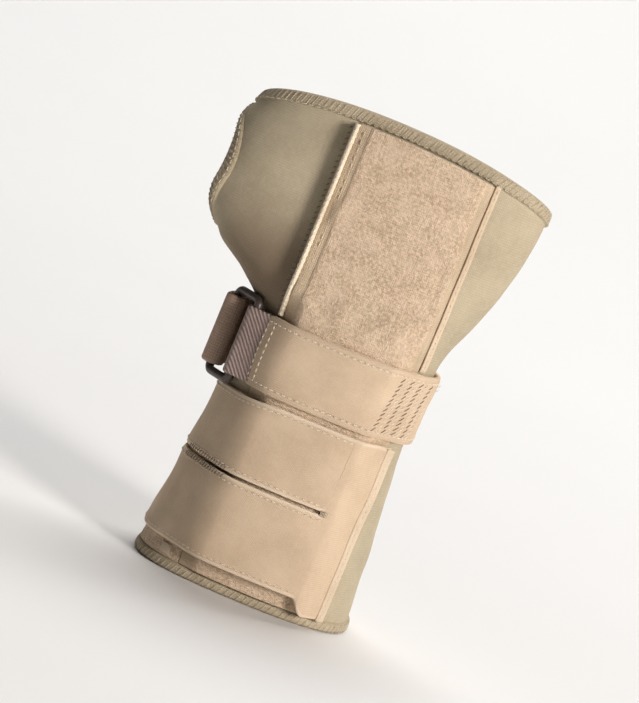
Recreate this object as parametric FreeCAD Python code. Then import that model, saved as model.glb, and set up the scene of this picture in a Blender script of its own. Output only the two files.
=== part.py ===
import FreeCAD, Part
import math
import os

# Wrist splint with two removable stays, standing on its forearm cuff, in millimetres.
# X runs towards the little finger, Y towards the palm and Z towards the fingers,
# so the thumb side is -X and the back of the hand is -Y.
# Every layer is given by its offset from the outer face of the padded sleeve.

# sleeve
brace_height = 160.0            # from the cuff to the highest point of the knuckle edge
back_y = -27.0                  # the back of the sleeve is straight, so that a stay can slide in it
cuff_palm_y = 31.0              # palm side of the sleeve at the cuff
palm_slope = 18.0 / brace_height    # the palm side comes in by 18 mm over the height
roundness = 2.6                 # exponent of the superellipse that is the sleeve's cross-section
outline = [                     # height, thumb side x, little-finger side x
    (0.0, -36.0, 37.0),
    (40.0, -30.8, 34.0),
    (66.0, -28.8, 31.6),
    (88.0, -29.4, 32.2),
    (97.0, -37.5, 34.0),
    (105.0, -49.0, 37.0),
    (122.0, -58.5, 42.6),
    (140.0, -56.5, 45.8),
    (160.0, -48.0, 47.0),
]
lining = 0.8
padding = 2.2
split_y = -3.0                  # plane inside the hollow that parts the back from the palm side

# hems, each folded over an edge
hem_skin = 0.8
inner_skin = 0.6
cuff_hem_width = 3.6
knuckle_hem_width = 4.5
knuckle_drop = 0.2              # the knuckle edge falls by this much per millimetre towards the palm
thumb_hem_width = 4.0
thumb_y = -1.5
thumb_z = 127.0
thumb_half_width = 13.5
thumb_half_height = 17.0
thumb_hem_inside_x = -40.0      # the thumb hem ends here on the palm side

# stay pockets
pocket_base = 0.6               # thickness of the pocket cloth where it is sewn down
pocket_rise = 5.2               # further height over the stay
pocket_bottom = 3.8
back_pocket = (-20.0, 27.0)
palm_pocket = (-24.0, 24.0)
pocket_shoulder = 7.5
span_foot_x = -28.0             # where cloth over a pocket leaves the sleeve on the thumb side
clearance = 0.3
stay_gap = 1.8                  # from the sleeve to the bottom of a stay's channel
back_stay_x = 4.0
back_stay_width = 28.0
back_stay_thickness = 1.5
back_stay_bow = 100.0
back_stay_span = (12.3, 148.0)
palm_stay_width = 26.0
palm_stay_head = 32.0
palm_stay_head_z = 104.0
palm_stay_thickness = 1.8
palm_stay_bow = 160.0
palm_stay_span = (14.3, 137.0)
tip_length = 11.0
tip_skin = 0.25

# wrist strap and its ring
strap_z = (65.5, 88.9)
strap_thickness = 1.8
strap_start_x = -22.0
hook_thickness = 0.8
wire = 1.4                      # radius of the ring's wire
inner_bar = (-27.6, -20.6)
outer_bar = (-35.6, -10.0)
ring_z = (62.0, 92.4)
strap_end_x = 6.0
leg_end_y = outer_bar[1] + 2.0

# forearm closure with two tabs
closure_top = 62.0
slit_z = (36.9, 38.5)
tab_bottom = 9.2
slit_end_x = 16.0
lower_slit_end_x = 20.0
tab_fold_x = -20.0
tab_inner = 1.7
tab_outer = 3.2
tab_end_x = 8.0
tape = 0.4
ease = 0.04                     # sewn panel clear of the pocket cloth under it

pocketed = "pocketed"           # cover that follows a stay pocket
spanning = "spanning"           # cover that lies over a stay pocket
ring_count = 60                 # points round one cross-section
far = 90.0


def smooth(t):
    t = min(1.0, max(0.0, t))
    return t * t * (3.0 - 2.0 * t)


def edge_at(column, z):
    """Smooth curve without overshoot through one column of the outline."""
    heights = [row[0] for row in outline]
    values = [row[column] for row in outline]
    last = len(heights) - 1
    steps = [heights[i + 1] - heights[i] for i in range(last)]
    slopes = [(values[i + 1] - values[i]) / steps[i] for i in range(last)]
    tangents = [slopes[0]]
    for before, after in zip(slopes, slopes[1:]):
        same_way = before * after > 0
        tangents.append(2.0 * before * after / (before + after) if same_way else 0.0)
    tangents.append(slopes[-1])
    if z <= heights[0]:
        return values[0] + tangents[0] * (z - heights[0])
    if z >= heights[-1]:
        return values[-1] + tangents[-1] * (z - heights[-1])
    i = max(j for j in range(last) if heights[j] <= z)
    t = (z - heights[i]) / steps[i]
    start = values[i] * (1 - 3 * t**2 + 2 * t**3) + steps[i] * tangents[i] * (t - 2 * t**2 + t**3)
    return start + values[i + 1] * (3 * t**2 - 2 * t**3) + steps[i] * tangents[i + 1] * (t**3 - t**2)


def frame_at(z, offset):
    """Centre and half sizes of the cross-section at one height."""
    thumb_side = edge_at(1, z)
    finger_side = edge_at(2, z)
    palm_y = cuff_palm_y - palm_slope * z
    middle = ((thumb_side + finger_side) / 2, (palm_y + back_y) / 2)
    half = ((finger_side - thumb_side) / 2 + offset, (palm_y - back_y) / 2 + offset)
    return middle, half


def drape(x, side, cover):
    """Lift over a stay pocket: cloth that spans the pocket leaves the thumb side sooner."""
    low, high = palm_pocket if side > 0 else back_pocket
    foot = span_foot_x if cover == spanning else low
    rise = smooth((x - foot) / (low + pocket_shoulder - foot))
    return side * pocket_rise * rise * smooth((high - x) / pocket_shoulder)


def strap_reach(y, reach):
    """How far the strap stands out on the thumb side to reach the ring."""
    return reach * smooth((16.0 - y) / (16.0 - leg_end_y))


def section(z, offset, cover, reach):
    middle, half = frame_at(z, offset)
    points = []
    for i in range(ring_count):
        t = 2 * math.pi * i / ring_count
        c = math.cos(t)
        s = math.sin(t)
        k = (abs(c)**roundness + abs(s)**roundness)**(-1 / roundness)
        x = middle[0] + half[0] * c * k
        y = middle[1] + half[1] * s * k
        if cover:
            y += drape(x, math.copysign(1.0, s), cover)
        if x < middle[0]:
            x -= strap_reach(y, reach)
        points.append(FreeCAD.Vector(x, y, z))
    return points


def face_y(x, z, offset, side, cover):
    """Y of a face at one point, with side -1 on the back and +1 on the palm."""
    middle, half = frame_at(z, offset)
    u = abs(x - middle[0]) / half[0]
    return middle[1] + side * half[1] * (1 - u**roundness)**(1 / roundness) + drape(x, side, cover)


tubes = {}


def tube(offset, cover=None, reach=0.0):
    """Solid of everything within one offset, longer than the sleeve at both ends."""
    key = (offset, cover, reach)
    if key not in tubes:
        heights = [-8, 0, 20, 40, 60, 76, 88, 97, 105, 113, 122, 131, 140, 150, 160, 170]
        marks = [float(i) for i in range(ring_count + 1)]
        wires = []
        for z in heights:
            curve = Part.BSplineCurve()
            curve.interpolate(Points=section(z, offset, cover, reach), PeriodicFlag=True, Parameters=marks)
            wires.append(Part.Wire([curve.toShape()]))
        tubes[key] = Part.makeLoft(wires, True, False, False)
    return tubes[key]


def layer(inner, outer, window, cover=None, reach=0.0):
    return window.common(tube(outer, cover, reach)).cut(tube(inner, cover, reach))


def box(xs, ys, zs):
    return Part.makeBox(xs[1] - xs[0], ys[1] - ys[0], zs[1] - zs[0], FreeCAD.Vector(xs[0], ys[0], zs[0]))


def back_box(xs, zs):
    return box(xs, (-far, split_y), zs)


def palm_box(xs, zs):
    return box(xs, (split_y, far), zs)


def below_edge(drop):
    """Everything lower than the knuckle edge by at least the drop."""
    lift = knuckle_drop * (far + back_y)
    points = [FreeCAD.Vector(x, -far, z + lift - drop) for x, z in ((-90, 149.5), (-20, 160.0), (90, 144.0))]
    arc = Part.Arc(*points).toShape()
    floor = [FreeCAD.Vector(90, -far, -20), FreeCAD.Vector(-90, -far, -20)]
    sides = Part.makePolygon([points[2], floor[0], floor[1], points[0]])
    face = Part.Face(Part.Wire([arc] + sides.Edges))
    return face.extrude(FreeCAD.Vector(0, 2 * far, -2 * far * knuckle_drop))


def thumb_plug(grow):
    """Bar with an oval section that goes through the thumb side of the sleeve only."""
    middle = FreeCAD.Vector(-far, thumb_y, thumb_z)
    oval = Part.Ellipse(middle, thumb_half_height + grow, thumb_half_width + grow)
    oval.Axis = FreeCAD.Vector(1, 0, 0)
    oval.XAxis = FreeCAD.Vector(0, 0, 1)
    return Part.Face(Part.Wire([oval.toShape()])).extrude(FreeCAD.Vector(far - 25, 0, 0))


everywhere = box((-far, far), (-far, far), (-5, 168))
sleeve_room = box((-far, far), (-far, far), (hem_skin, 168)).common(below_edge(hem_skin))
sleeve_room = sleeve_room.cut(thumb_plug(hem_skin))


def inner_lining():
    return layer(-padding - lining, -padding, sleeve_room)


def padded_panel(window):
    return layer(-padding, 0.0, sleeve_room.common(window))


def back_panel():
    return padded_panel(back_box(back_pocket, (-5, 168)))


def palm_panel():
    return padded_panel(palm_box(palm_pocket, (-5, 168)))


def thumb_side_panel():
    window = back_box((-far, back_pocket[0]), (-5, 168))
    return padded_panel(window.fuse(palm_box((-far, palm_pocket[0]), (-5, 168))))


def finger_side_panel():
    window = back_box((back_pocket[1], far), (-5, 168))
    return padded_panel(window.fuse(palm_box((palm_pocket[1], far), (-5, 168))))


def folded_hem(window, filling):
    """A hem that covers both faces of the sleeve and its edge, round the sleeve itself."""
    skin = layer(-padding - lining - inner_skin, hem_skin, window)
    return skin.cut(layer(-padding - lining, 0.0, filling))


def cuff_hem():
    window = box((-far, far), (-far, far), (0, cuff_hem_width))
    return folded_hem(window, window.common(sleeve_room))


def knuckle_hem():
    window = everywhere.common(below_edge(0)).cut(below_edge(knuckle_hem_width))
    return folded_hem(window, window.common(sleeve_room))


def thumb_hem():
    nose = box((-far, thumb_hem_inside_x), (-far, far), (0, 168)).common(below_edge(knuckle_hem_width))
    window = thumb_plug(thumb_hem_width).cut(thumb_plug(0)).common(nose)
    return folded_hem(window, window.common(sleeve_room))


def bowed_strip(middle_x, face, side, bow, thickness, width):
    """Face of a stay's curved section at height 0, its inner side touching y = face."""
    centre_y = face - side * bow
    half = math.asin(width / 2 / bow)
    rim = []
    for radius, turn in ((bow, -half), (bow, 0), (bow, half), (bow + thickness, half),
                         (bow + thickness, 0), (bow + thickness, -half)):
        x = middle_x + radius * math.sin(turn)
        rim.append(FreeCAD.Vector(x, centre_y + side * radius * math.cos(turn), 0))
    edges = [Part.Arc(rim[0], rim[1], rim[2]).toShape(), Part.makeLine(rim[2], rim[3]),
             Part.Arc(rim[3], rim[4], rim[5]).toShape(), Part.makeLine(rim[5], rim[0])]
    return Part.Face(Part.Wire(edges))


def slope_of(side):
    return palm_slope if side > 0 else 0.0


def stay(middle_x, side, bow, thickness, width, span, gap):
    """Strip of a stay between two heights, leaning with its side of the sleeve."""
    slope = slope_of(side)
    face = (cuff_palm_y if side > 0 else back_y) + side * gap
    base = bowed_strip(middle_x, face, side, bow, thickness, width)
    base.translate(FreeCAD.Vector(0, -slope * span[0], span[0]))
    rise = span[1] - span[0]
    return base.extrude(FreeCAD.Vector(0, -slope * rise, rise))


def rounded_window(middle_x, width, zs, radius):
    """Bar along Y with a rounded rectangle as its section."""
    bar = box((middle_x - width / 2, middle_x + width / 2), (-far, far), zs)
    corners = [edge for edge in bar.Edges if abs(edge.BoundBox.YLength - 2 * far) < 0.01]
    return bar.makeFillet(radius, corners)


def back_channel():
    return stay(back_stay_x, -1, back_stay_bow, back_stay_thickness + 2 * clearance,
                back_stay_width + 2 * clearance, (back_stay_span[0] - clearance, 175), stay_gap)


def back_stay():
    strip = stay(back_stay_x, -1, back_stay_bow, back_stay_thickness, back_stay_width,
                 back_stay_span, stay_gap + clearance)
    return strip.common(rounded_window(back_stay_x, back_stay_width, back_stay_span, 10.0))


def palm_channel():
    thickness = palm_stay_thickness + 2 * clearance
    narrow = stay(0, 1, palm_stay_bow, thickness, palm_stay_width + 2 * clearance,
                  (palm_stay_span[0] - clearance, 175), stay_gap)
    wide = stay(0, 1, palm_stay_bow, thickness, palm_stay_head + 2 * clearance,
                (palm_stay_head_z - clearance, 175), stay_gap)
    return narrow.fuse(wide)


def palm_stay_whole():
    """Narrow forearm part and a wider rounded head that lies in the palm."""
    gap = stay_gap + clearance
    strip = stay(0, 1, palm_stay_bow, palm_stay_thickness, palm_stay_head, palm_stay_span, gap)
    low, high = palm_stay_span
    body = rounded_window(0, palm_stay_width, (low, palm_stay_head_z + 15), 6.0)
    head = rounded_window(0, palm_stay_head, (palm_stay_head_z, high), 12.0)
    return strip.common(body.fuse(head))


def palm_tip_zones():
    low, high = palm_stay_span
    return box((-far, far), (-far, far), (low - 1, low + tip_length)).fuse(
        box((-far, far), (-far, far), (high - tip_length, high + 1)))


def palm_stay():
    """Metal strip, thinner by the dipped skin inside both tips."""
    core = palm_stay_whole().cut(palm_tip_zones())
    inner = stay(0, 1, palm_stay_bow, palm_stay_thickness - 2 * tip_skin, palm_stay_head - 4,
                 (palm_stay_span[0] + 2, palm_stay_span[1] - 2), stay_gap + clearance + tip_skin)
    low, high = palm_stay_span
    body = rounded_window(0, palm_stay_width - 4, (low + 2, palm_stay_head_z + 15), 4.0)
    head = rounded_window(0, palm_stay_head - 4, (palm_stay_head_z, high - 2), 10.0)
    return core.fuse(inner.common(body.fuse(head)).common(palm_tip_zones()))


def palm_stay_tips():
    return palm_stay_whole().common(palm_tip_zones()).cut(palm_stay())


def pocket(window, channel):
    return window.common(tube(pocket_base, pocketed)).cut(tube(0.0)).cut(channel)


def pocket_room(xs, frame):
    return frame(xs, (pocket_bottom, 168)).common(below_edge(knuckle_hem_width + clearance))


def back_pocket_cover():
    return pocket(pocket_room(back_pocket, back_box), back_channel())


def palm_pocket_cover():
    return pocket(pocket_room(palm_pocket, palm_box), palm_channel())


def pocket_piping():
    """Raised stitched cord down the thumb side edge of the back pocket."""
    window = back_box((back_pocket[0] - 1.0, back_pocket[0] + 1.4), (strap_z[1] + 0.4, 168))
    window = window.common(below_edge(knuckle_hem_width + clearance))
    return layer(pocket_base, pocket_base + 1.2, window, pocketed)


def pocket_edge_tape():
    window = back_box((back_pocket[1] - 0.6, back_pocket[1] + 2.0), (strap_z[1] + 0.4, 168))
    window = window.common(below_edge(knuckle_hem_width + clearance))
    return layer(pocket_base, pocket_base + tape, window, pocketed)


def forearm_loop_panel():
    """Loop-pile cloth on the thumb side of the forearm, under the tabs."""
    back = back_box((-far, back_pocket[0]), (pocket_bottom, closure_top))
    palm = palm_box((-far, palm_pocket[0]), (pocket_bottom, closure_top))
    return layer(0.0, pocket_base, back.fuse(palm))


def cuff_tab():
    """Small blank loop of tape at the lower edge of the forearm cloth."""
    window = back_box((-28.0, -23.0), (pocket_bottom + 0.4, tab_bottom - 0.8))
    return layer(pocket_base, pocket_base + 0.6, window)


def closure_panel():
    """Cloth sewn along the little-finger side, with slits that divide it into two tabs."""
    window = back_box((tab_fold_x, back_pocket[1]), (tab_bottom, closure_top))
    foot = back_box((lower_slit_end_x, back_pocket[1]), (pocket_bottom, tab_bottom + 1))
    slit = box((-far, slit_end_x), (-far, far), slit_z)
    return layer(pocket_base + ease, tab_outer, window.fuse(foot).cut(slit), spanning)


def closure_tape():
    window = back_box((back_pocket[1] - 2.6, back_pocket[1]), (pocket_bottom, closure_top))
    return layer(tab_outer, tab_outer + tape, window, spanning)


tab_heights = {"lower": (tab_bottom, slit_z[0]), "upper": (slit_z[1], closure_top)}


def tab_wrap(zs):
    """Stretch of a tab that goes round the thumb side of the forearm."""
    window = box((-far, tab_fold_x - clearance), (-far, far), zs)
    return layer(tab_inner, tab_outer, window, spanning)


def tab_end(zs):
    """Free end of a tab, lying on the palm side."""
    return layer(tab_inner, tab_outer, palm_box((tab_fold_x, tab_end_x), zs), spanning)


def tab_hook(zs):
    """Hook patch under the free end of a tab."""
    window = palm_box((tab_fold_x + 5, tab_end_x - 2), (zs[0] + 2, zs[1] - 2))
    return layer(tab_inner - hook_thickness, tab_inner, window, spanning)


def fold_line(zs, side):
    """Lower and upper point of the line that a tab swings about, at its outer face."""
    x = tab_fold_x - clearance / 2
    return [FreeCAD.Vector(x, face_y(x, z, tab_outer, side, spanning) + side * 0.15, z) for z in zs]


def reach_to(x, offset):
    """Stand-off that brings one layer of the strap out to x beside the fold's legs."""
    middle, half = frame_at(sum(strap_z) / 2, offset)
    v = abs(leg_end_y - middle[1]) / half[1]
    return middle[0] - half[0] * (1 - v**roundness)**(1 / roundness) - x


def wrist_strap():
    """Strap from the back pocket's edge round the little-finger side and palm to the ring."""
    first = pocket_base
    last = pocket_base + strap_thickness
    back = back_box((strap_start_x, far), strap_z)
    palm = palm_box((0, far), strap_z)
    thumb = box((-far, 0), (leg_end_y + clearance, far), strap_z)
    sewn = layer(first, last, back.fuse(palm), spanning)
    reach = reach_to(outer_bar[0] + wire + clearance, last)
    return sewn.fuse(layer(first, last, thumb.cut(back), spanning, reach))


def strap_tack():
    """Block of zigzag stitches that ties the strap down at the little-finger side."""
    outer = pocket_base + strap_thickness
    window = back_box((20.0, 30.0), (strap_z[0] + 1.5, strap_z[1] - 2))
    return layer(outer, outer + 0.3, window, spanning)


def ring_path():
    """Centre line of the ring: a rectangle with rounded corners, and its corner radius."""
    corner = 2.0
    across = FreeCAD.Vector(outer_bar[0] - inner_bar[0], outer_bar[1] - inner_bar[1], 0)
    width = across.Length
    across.normalize()
    up = FreeCAD.Vector(0, 0, 1)
    origin = FreeCAD.Vector(inner_bar[0], inner_bar[1], ring_z[0] + wire)
    height = ring_z[1] - ring_z[0] - 2 * wire
    return origin, across, up, width, height, corner


def strap_ring():
    """Moulded ring: four round bars joined by bent corners."""
    origin, across, up, width, height, corner = ring_path()

    def at(u, v):
        return origin + across * u + up * v

    bend = corner * (1 - math.sqrt(0.5))
    corners = [(0, 0, 1, 1), (width, 0, -1, 1), (width, height, -1, -1), (0, height, 1, -1)]
    edges = []
    for u, v, su, sv in corners:
        start = at(u, v + sv * corner)
        middle = at(u + su * bend, v + sv * bend)
        finish = at(u + su * corner, v)
        if su * sv < 0:
            start, finish = finish, start
        edges.append(Part.Arc(start, middle, finish).toShape())
    bars = []
    for i in range(4):
        edge = edges[i]
        following = edges[(i + 1) % 4]
        bars.append(Part.makeLine(edge.Vertexes[-1].Point, following.Vertexes[0].Point))
    pieces = []
    for edge in edges + bars:
        tangent = edge.tangentAt(edge.FirstParameter)
        profile = Part.makeCircle(wire, edge.valueAt(edge.FirstParameter), tangent)
        pieces.append(Part.Wire([edge]).makePipeShell([Part.Wire([profile])], True, True))
    whole = pieces[0]
    for piece in pieces[1:]:
        whole = whole.fuse(piece)
    return whole.removeSplitter()


def upright(points, zs):
    """Prism over a closed polygon in plan."""
    corners = [FreeCAD.Vector(x, y, zs[0]) for x, y in points]
    face = Part.Face(Part.makePolygon(corners + corners[:1]))
    return face.extrude(FreeCAD.Vector(0, 0, zs[1] - zs[0]))


def post(centre, radius, zs):
    return Part.makeCylinder(radius, zs[1] - zs[0], FreeCAD.Vector(centre[0], centre[1], zs[0]))


def ring_webbing():
    """Doubled webbing that holds the ring's inner bar, sewn under the strap's start."""
    zs = (strap_z[0] + 0.2, strap_z[1] - 0.2)
    bore = wire + clearance
    loop = post(inner_bar, bore + 1.2, zs)
    edge_x = strap_start_x - 0.2
    outer_y = face_y(edge_x, zs[0], pocket_base + strap_thickness, -1, spanning)
    inner_y = face_y(edge_x, zs[0], 0.0, -1, pocketed) - 0.8
    tail = upright([(inner_bar[0] - 1.0, inner_bar[1] - 2.7), (edge_x, outer_y), (edge_x, inner_y),
                    (inner_bar[0] + 2.1, inner_bar[1] + 2.0)], zs)
    return loop.fuse(tail).cut(post(inner_bar, bore, zs))


def strap_fold():
    """Bend of the strap round the ring's outer bar, with two short legs."""
    bore = wire + clearance
    outside = bore + strap_thickness
    x, y = outer_bar
    bend = post(outer_bar, outside, strap_z).cut(post(outer_bar, bore, strap_z))
    bend = bend.common(box((-far, far), (-far, y), strap_z))
    legs = box((x - outside, x + outside), (y, leg_end_y), strap_z)
    return bend.fuse(legs.cut(box((x - bore, x + bore), (y - 1, leg_end_y + 1), strap_z)))


strap_end_inner = pocket_base + strap_thickness + clearance + hook_thickness
end_reach = reach_to(outer_bar[0] - wire - clearance, strap_end_inner)


def strap_end():
    """Free end of the strap, folded back over the palm stretch."""
    window = box((-far, strap_end_x), (leg_end_y + clearance, far), strap_z).cut(back_box((0, far), strap_z))
    return layer(strap_end_inner, strap_end_inner + strap_thickness, window, spanning, end_reach)


def strap_hook():
    """Hook patch under the strap's free end."""
    window = palm_box((-16, strap_end_x - 2), (strap_z[0] + 2, strap_z[1] - 2))
    return layer(strap_end_inner - hook_thickness, strap_end_inner, window, spanning, end_reach)


def build():
    nodes = {
        "inner_lining": inner_lining(),
        "back_panel": back_panel(),
        "palm_panel": palm_panel(),
        "thumb_side_panel": thumb_side_panel(),
        "finger_side_panel": finger_side_panel(),
        "cuff_hem": cuff_hem(),
        "knuckle_hem": knuckle_hem(),
        "thumb_hem": thumb_hem(),
        "back_pocket": back_pocket_cover(),
        "palm_pocket": palm_pocket_cover(),
        "pocket_piping": pocket_piping(),
        "pocket_edge_tape": pocket_edge_tape(),
        "forearm_loop_panel": forearm_loop_panel(),
        "cuff_tab": cuff_tab(),
        "closure_panel": closure_panel(),
        "closure_tape": closure_tape(),
        "back_stay": back_stay(),
        "palm_stay": palm_stay(),
        "palm_stay_tips": palm_stay_tips(),
        "wrist_strap": wrist_strap(),
        "strap_tack": strap_tack(),
        "ring_webbing": ring_webbing(),
        "strap_ring": strap_ring(),
        "strap_fold": strap_fold(),
        "strap_end": strap_end(),
        "strap_hook": strap_hook(),
    }
    for name, zs in tab_heights.items():
        nodes[name + "_tab_wrap"] = tab_wrap(zs)
        nodes[name + "_tab_end"] = tab_end(zs)
        nodes[name + "_tab_hook"] = tab_hook(zs)
    return nodes


def centre_shift(nodes):
    """Moves the whole splint so that the middle of its outer box is over the origin."""
    bounds = FreeCAD.BoundBox()
    for shape in nodes.values():
        bounds.add(shape.optimalBoundingBox(True))
    return FreeCAD.Vector(-bounds.Center.x, -bounds.Center.y, 0)


nodes = build()
shift = centre_shift(nodes)
os.makedirs("parts", exist_ok=True)
for name, shape in nodes.items():
    shape.translate(shift)
    shape.exportStep("parts/" + name + ".step")
    print(name, len(shape.Solids), round(shape.Volume), shape.isValid())

print("shift", round(shift.x, 3), round(shift.y, 3))
print("ring turns about", round(inner_bar[0] + shift.x, 3), round(inner_bar[1] + shift.y, 3))
end_x = outer_bar[0] - wire - clearance - strap_thickness - 0.2
print("strap end turns about", round(end_x + shift.x, 3), round(leg_end_y + clearance / 2 + shift.y, 3))
for name, zs in tab_heights.items():
    for part, side in (("wrap", -1), ("end", 1)):
        low, high = (point + shift for point in fold_line(zs, side))
        print(name, part, "turns from", [round(v, 3) for v in low], "to", [round(v, 3) for v in high])
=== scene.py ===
import math
import bmesh
import bpy
import numpy as np
from mathutils import Matrix, Vector


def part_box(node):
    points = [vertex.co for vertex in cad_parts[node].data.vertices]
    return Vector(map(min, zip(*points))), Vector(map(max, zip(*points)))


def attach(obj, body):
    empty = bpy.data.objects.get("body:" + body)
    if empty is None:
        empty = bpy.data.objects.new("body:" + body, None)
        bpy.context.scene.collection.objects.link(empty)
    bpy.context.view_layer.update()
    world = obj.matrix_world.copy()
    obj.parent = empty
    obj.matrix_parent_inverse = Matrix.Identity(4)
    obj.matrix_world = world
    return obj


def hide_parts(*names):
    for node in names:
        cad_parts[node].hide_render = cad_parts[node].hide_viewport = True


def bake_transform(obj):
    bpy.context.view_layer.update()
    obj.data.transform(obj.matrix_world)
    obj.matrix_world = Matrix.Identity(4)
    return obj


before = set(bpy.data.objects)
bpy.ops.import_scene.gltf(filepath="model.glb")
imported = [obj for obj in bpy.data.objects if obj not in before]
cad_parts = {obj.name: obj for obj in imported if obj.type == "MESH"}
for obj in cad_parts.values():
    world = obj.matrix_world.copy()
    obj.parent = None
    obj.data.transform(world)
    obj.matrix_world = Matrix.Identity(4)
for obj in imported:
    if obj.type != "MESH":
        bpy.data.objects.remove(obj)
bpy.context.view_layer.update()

twoPi = 2 * math.pi

# Millimetres in here. x to the little finger, y to the palm, z to the fingers.

sleeve = {
    "height": (0, 40, 66, 88, 97, 105, 122, 140, 160),
    "thumbSide": (-36, -30.8, -28.8, -29.4, -37.5, -49, -58.5, -56.5, -48),
    "fingerSide": (37, 34, 31.6, 32.2, 34, 37, 42.6, 45.8, 47),
    "backY": -27.0,
    "cuffPalmY": 31.0,
    "palmSlope": 0.1125,
    "roundness": 2.6,
    "backPocket": (-20.0, 27.0),
    "palmPocket": (-24.0, 24.0),
    "pocketRise": 5.2,
    "shoulder": 7.5,
    "spanFoot": -28.0,
    "kneeOfEdge": ((-90.0, 149.5), (-20.0, 160.0), (90.0, 144.0)),  # x and z on the knuckle edge
    "edgeDrop": 0.2,
    "ripple": 0.22,
    "stayX": 4.0,
    "hemIn": -3.6,
    "hemOut": 0.8,
    "knuckleGap": 0.8,  # panels stop short of the knuckle edge inside the hem
}

thumbHole = {"y": -1.5, "z": 127.0, "halfWidth": 13.5, "halfHeight": 17.0, "hem": 4.0}

# where the shape's own zero lies in the frame, read off two of its solids
stayLow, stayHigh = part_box("back_stay")
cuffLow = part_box("cuff_hem")[0]
place = np.array([(stayLow.x + stayHigh.x) * 500 - sleeve["stayX"],
                  cuffLow.y * 1000 - sleeve["backY"] + sleeve["hemOut"], 0.0])


# eases from 0 to 1 along a cubic
def soften(t):
    t = np.clip(t, 0, 1)
    return t * t * (3 - 2 * t)


# a smooth curve through the heights that never overshoots them
def edgeAt(key, z):
    height = np.array(sleeve["height"], float)
    value = np.array(sleeve[key], float)
    step = np.diff(height)
    slope = np.diff(value) / step
    product = slope[:-1] * slope[1:]
    total = np.where(product > 0, slope[:-1] + slope[1:], 1)
    tangent = np.concatenate([slope[:1], np.where(product > 0, 2 * product / total, 0), slope[-1:]])
    z = np.asarray(z, float)
    i = np.clip(np.searchsorted(height, z, side="right") - 1, 0, len(step) - 1)
    t = np.clip((z - height[i]) / step[i], 0, 1)
    inside = (value[i] * (1 - 3 * t**2 + 2 * t**3) + value[i + 1] * (3 * t**2 - 2 * t**3)
              + step[i] * (tangent[i] * (t - 2 * t**2 + t**3) + tangent[i + 1] * (t**3 - t**2)))
    outside = np.where(z < height[0], tangent[0] * (z - height[0]), 0)
    return inside + outside + np.where(z > height[-1], tangent[-1] * (z - height[-1]), 0)


# middle x and y and half breadths of the sleeve at a height, from its edges and the palm's slope
def sectionAt(z, offset):
    thumb, finger = edgeAt("thumbSide", z), edgeAt("fingerSide", z)
    palm = sleeve["cuffPalmY"] - sleeve["palmSlope"] * z
    return ((thumb + finger) / 2, (palm + sleeve["backY"]) / 2,
            (finger - thumb) / 2 + offset, (palm - sleeve["backY"]) / 2 + offset)


# how far the pocket over a stay lifts what lies on it; cloth that spans the pocket rises sooner
def liftAt(x, side, span=0):
    low = np.where(side > 0, sleeve["palmPocket"][0], sleeve["backPocket"][0])
    high = np.where(side > 0, sleeve["palmPocket"][1], sleeve["backPocket"][1])
    foot = low + (sleeve["spanFoot"] - low) * span
    rise = soften((x - foot) / (low + sleeve["shoulder"] - foot))
    return sleeve["pocketRise"] * rise * soften((high - x) / sleeve["shoulder"])


# the slow unevenness of worn cloth, shared by every layer so that none cuts through another
def rippleAt(t, z):
    waves = (np.sin(z * 0.11 + 2.1 * np.sin(t)) * np.sin(t * 3 + 0.7)
             + 0.7 * np.sin(z * 0.23 + t * 5 + 1.3) + 0.5 * np.sin(z * 0.31 - t * 7))
    return sleeve["ripple"] * waves * soften(z / 12)


# a superellipse at each height, t going round it from the little finger over the palm (0 to pi) and
# back over the back of the hand (pi to 2 pi), pushed out by the offset, the pockets and the ripple
def clothPoint(t, z, offset, draped=1.0, reach=0.0, span=0):
    t, z, offset = np.broadcast_arrays(np.asarray(t, float), np.asarray(z, float), np.asarray(offset, float))
    cx, cy, a, b = sectionAt(z, offset)
    c, s, n = np.cos(t), np.sin(t), sleeve["roundness"]
    k = (np.abs(c)**n + np.abs(s)**n)**(-1 / n)
    x, y = cx + a * c * k, cy + b * s * k
    side = np.sign(s)
    length = np.sqrt((c / a)**2 + (s / b)**2)
    wave = rippleAt(t, z)
    x, y = x + wave * (c / a) / length, y + wave * (s / b) / length
    y = y + side * liftAt(x, side, span) * draped
    x = x - np.where(x < cx, reach * soften((16.0 - y) / 24.0), 0)
    return np.stack([x, y, z], -1)


# the angle t of a place on the back (side -1) or the palm (side +1) with that x
def angleAtX(x, z, side, offset=0.0):
    cx, cy, a, b = sectionAt(z, offset)
    u = np.clip((x - cx) / a, -1, 1)
    n = sleeve["roundness"]
    return np.arctan2(side * (1 - np.abs(u)**n)**(1 / n), u) % twoPi


# the angle t of a place on the thumb side with that y
def angleAtY(y, z, offset=0.0):
    cx, cy, a, b = sectionAt(z, offset)
    v = np.clip((y - cy) / b, -1, 1)
    n = sleeve["roundness"]
    return np.arctan2(v, -(1 - np.abs(v)**n)**(1 / n)) % twoPi


# the knuckle edge: an arc seen from the back, falling a little towards the palm
def edgeHeight(x, y):
    (x1, z1), (x2, z2), (x3, z3) = sleeve["kneeOfEdge"]
    m = np.array([[x2 - x1, z2 - z1], [x3 - x1, z3 - z1]]) * 2
    r = np.array([x2**2 - x1**2 + z2**2 - z1**2, x3**2 - x1**2 + z3**2 - z1**2])
    cx, cz = np.linalg.solve(m, r)
    radius = math.hypot(x1 - cx, z1 - cz)
    return cz + np.sqrt(radius**2 - (x - cx)**2) - sleeve["edgeDrop"] * (y - sleeve["backY"])


# height of a line that stays a drop below the knuckle edge, found by repeating
def topAt(t, drop):
    z = np.full(np.shape(t), 155.0)
    for _ in range(5):
        p = clothPoint(t, z, 0.0, draped=0)
        z = edgeHeight(p[..., 0], p[..., 1]) - drop
    return z


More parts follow.
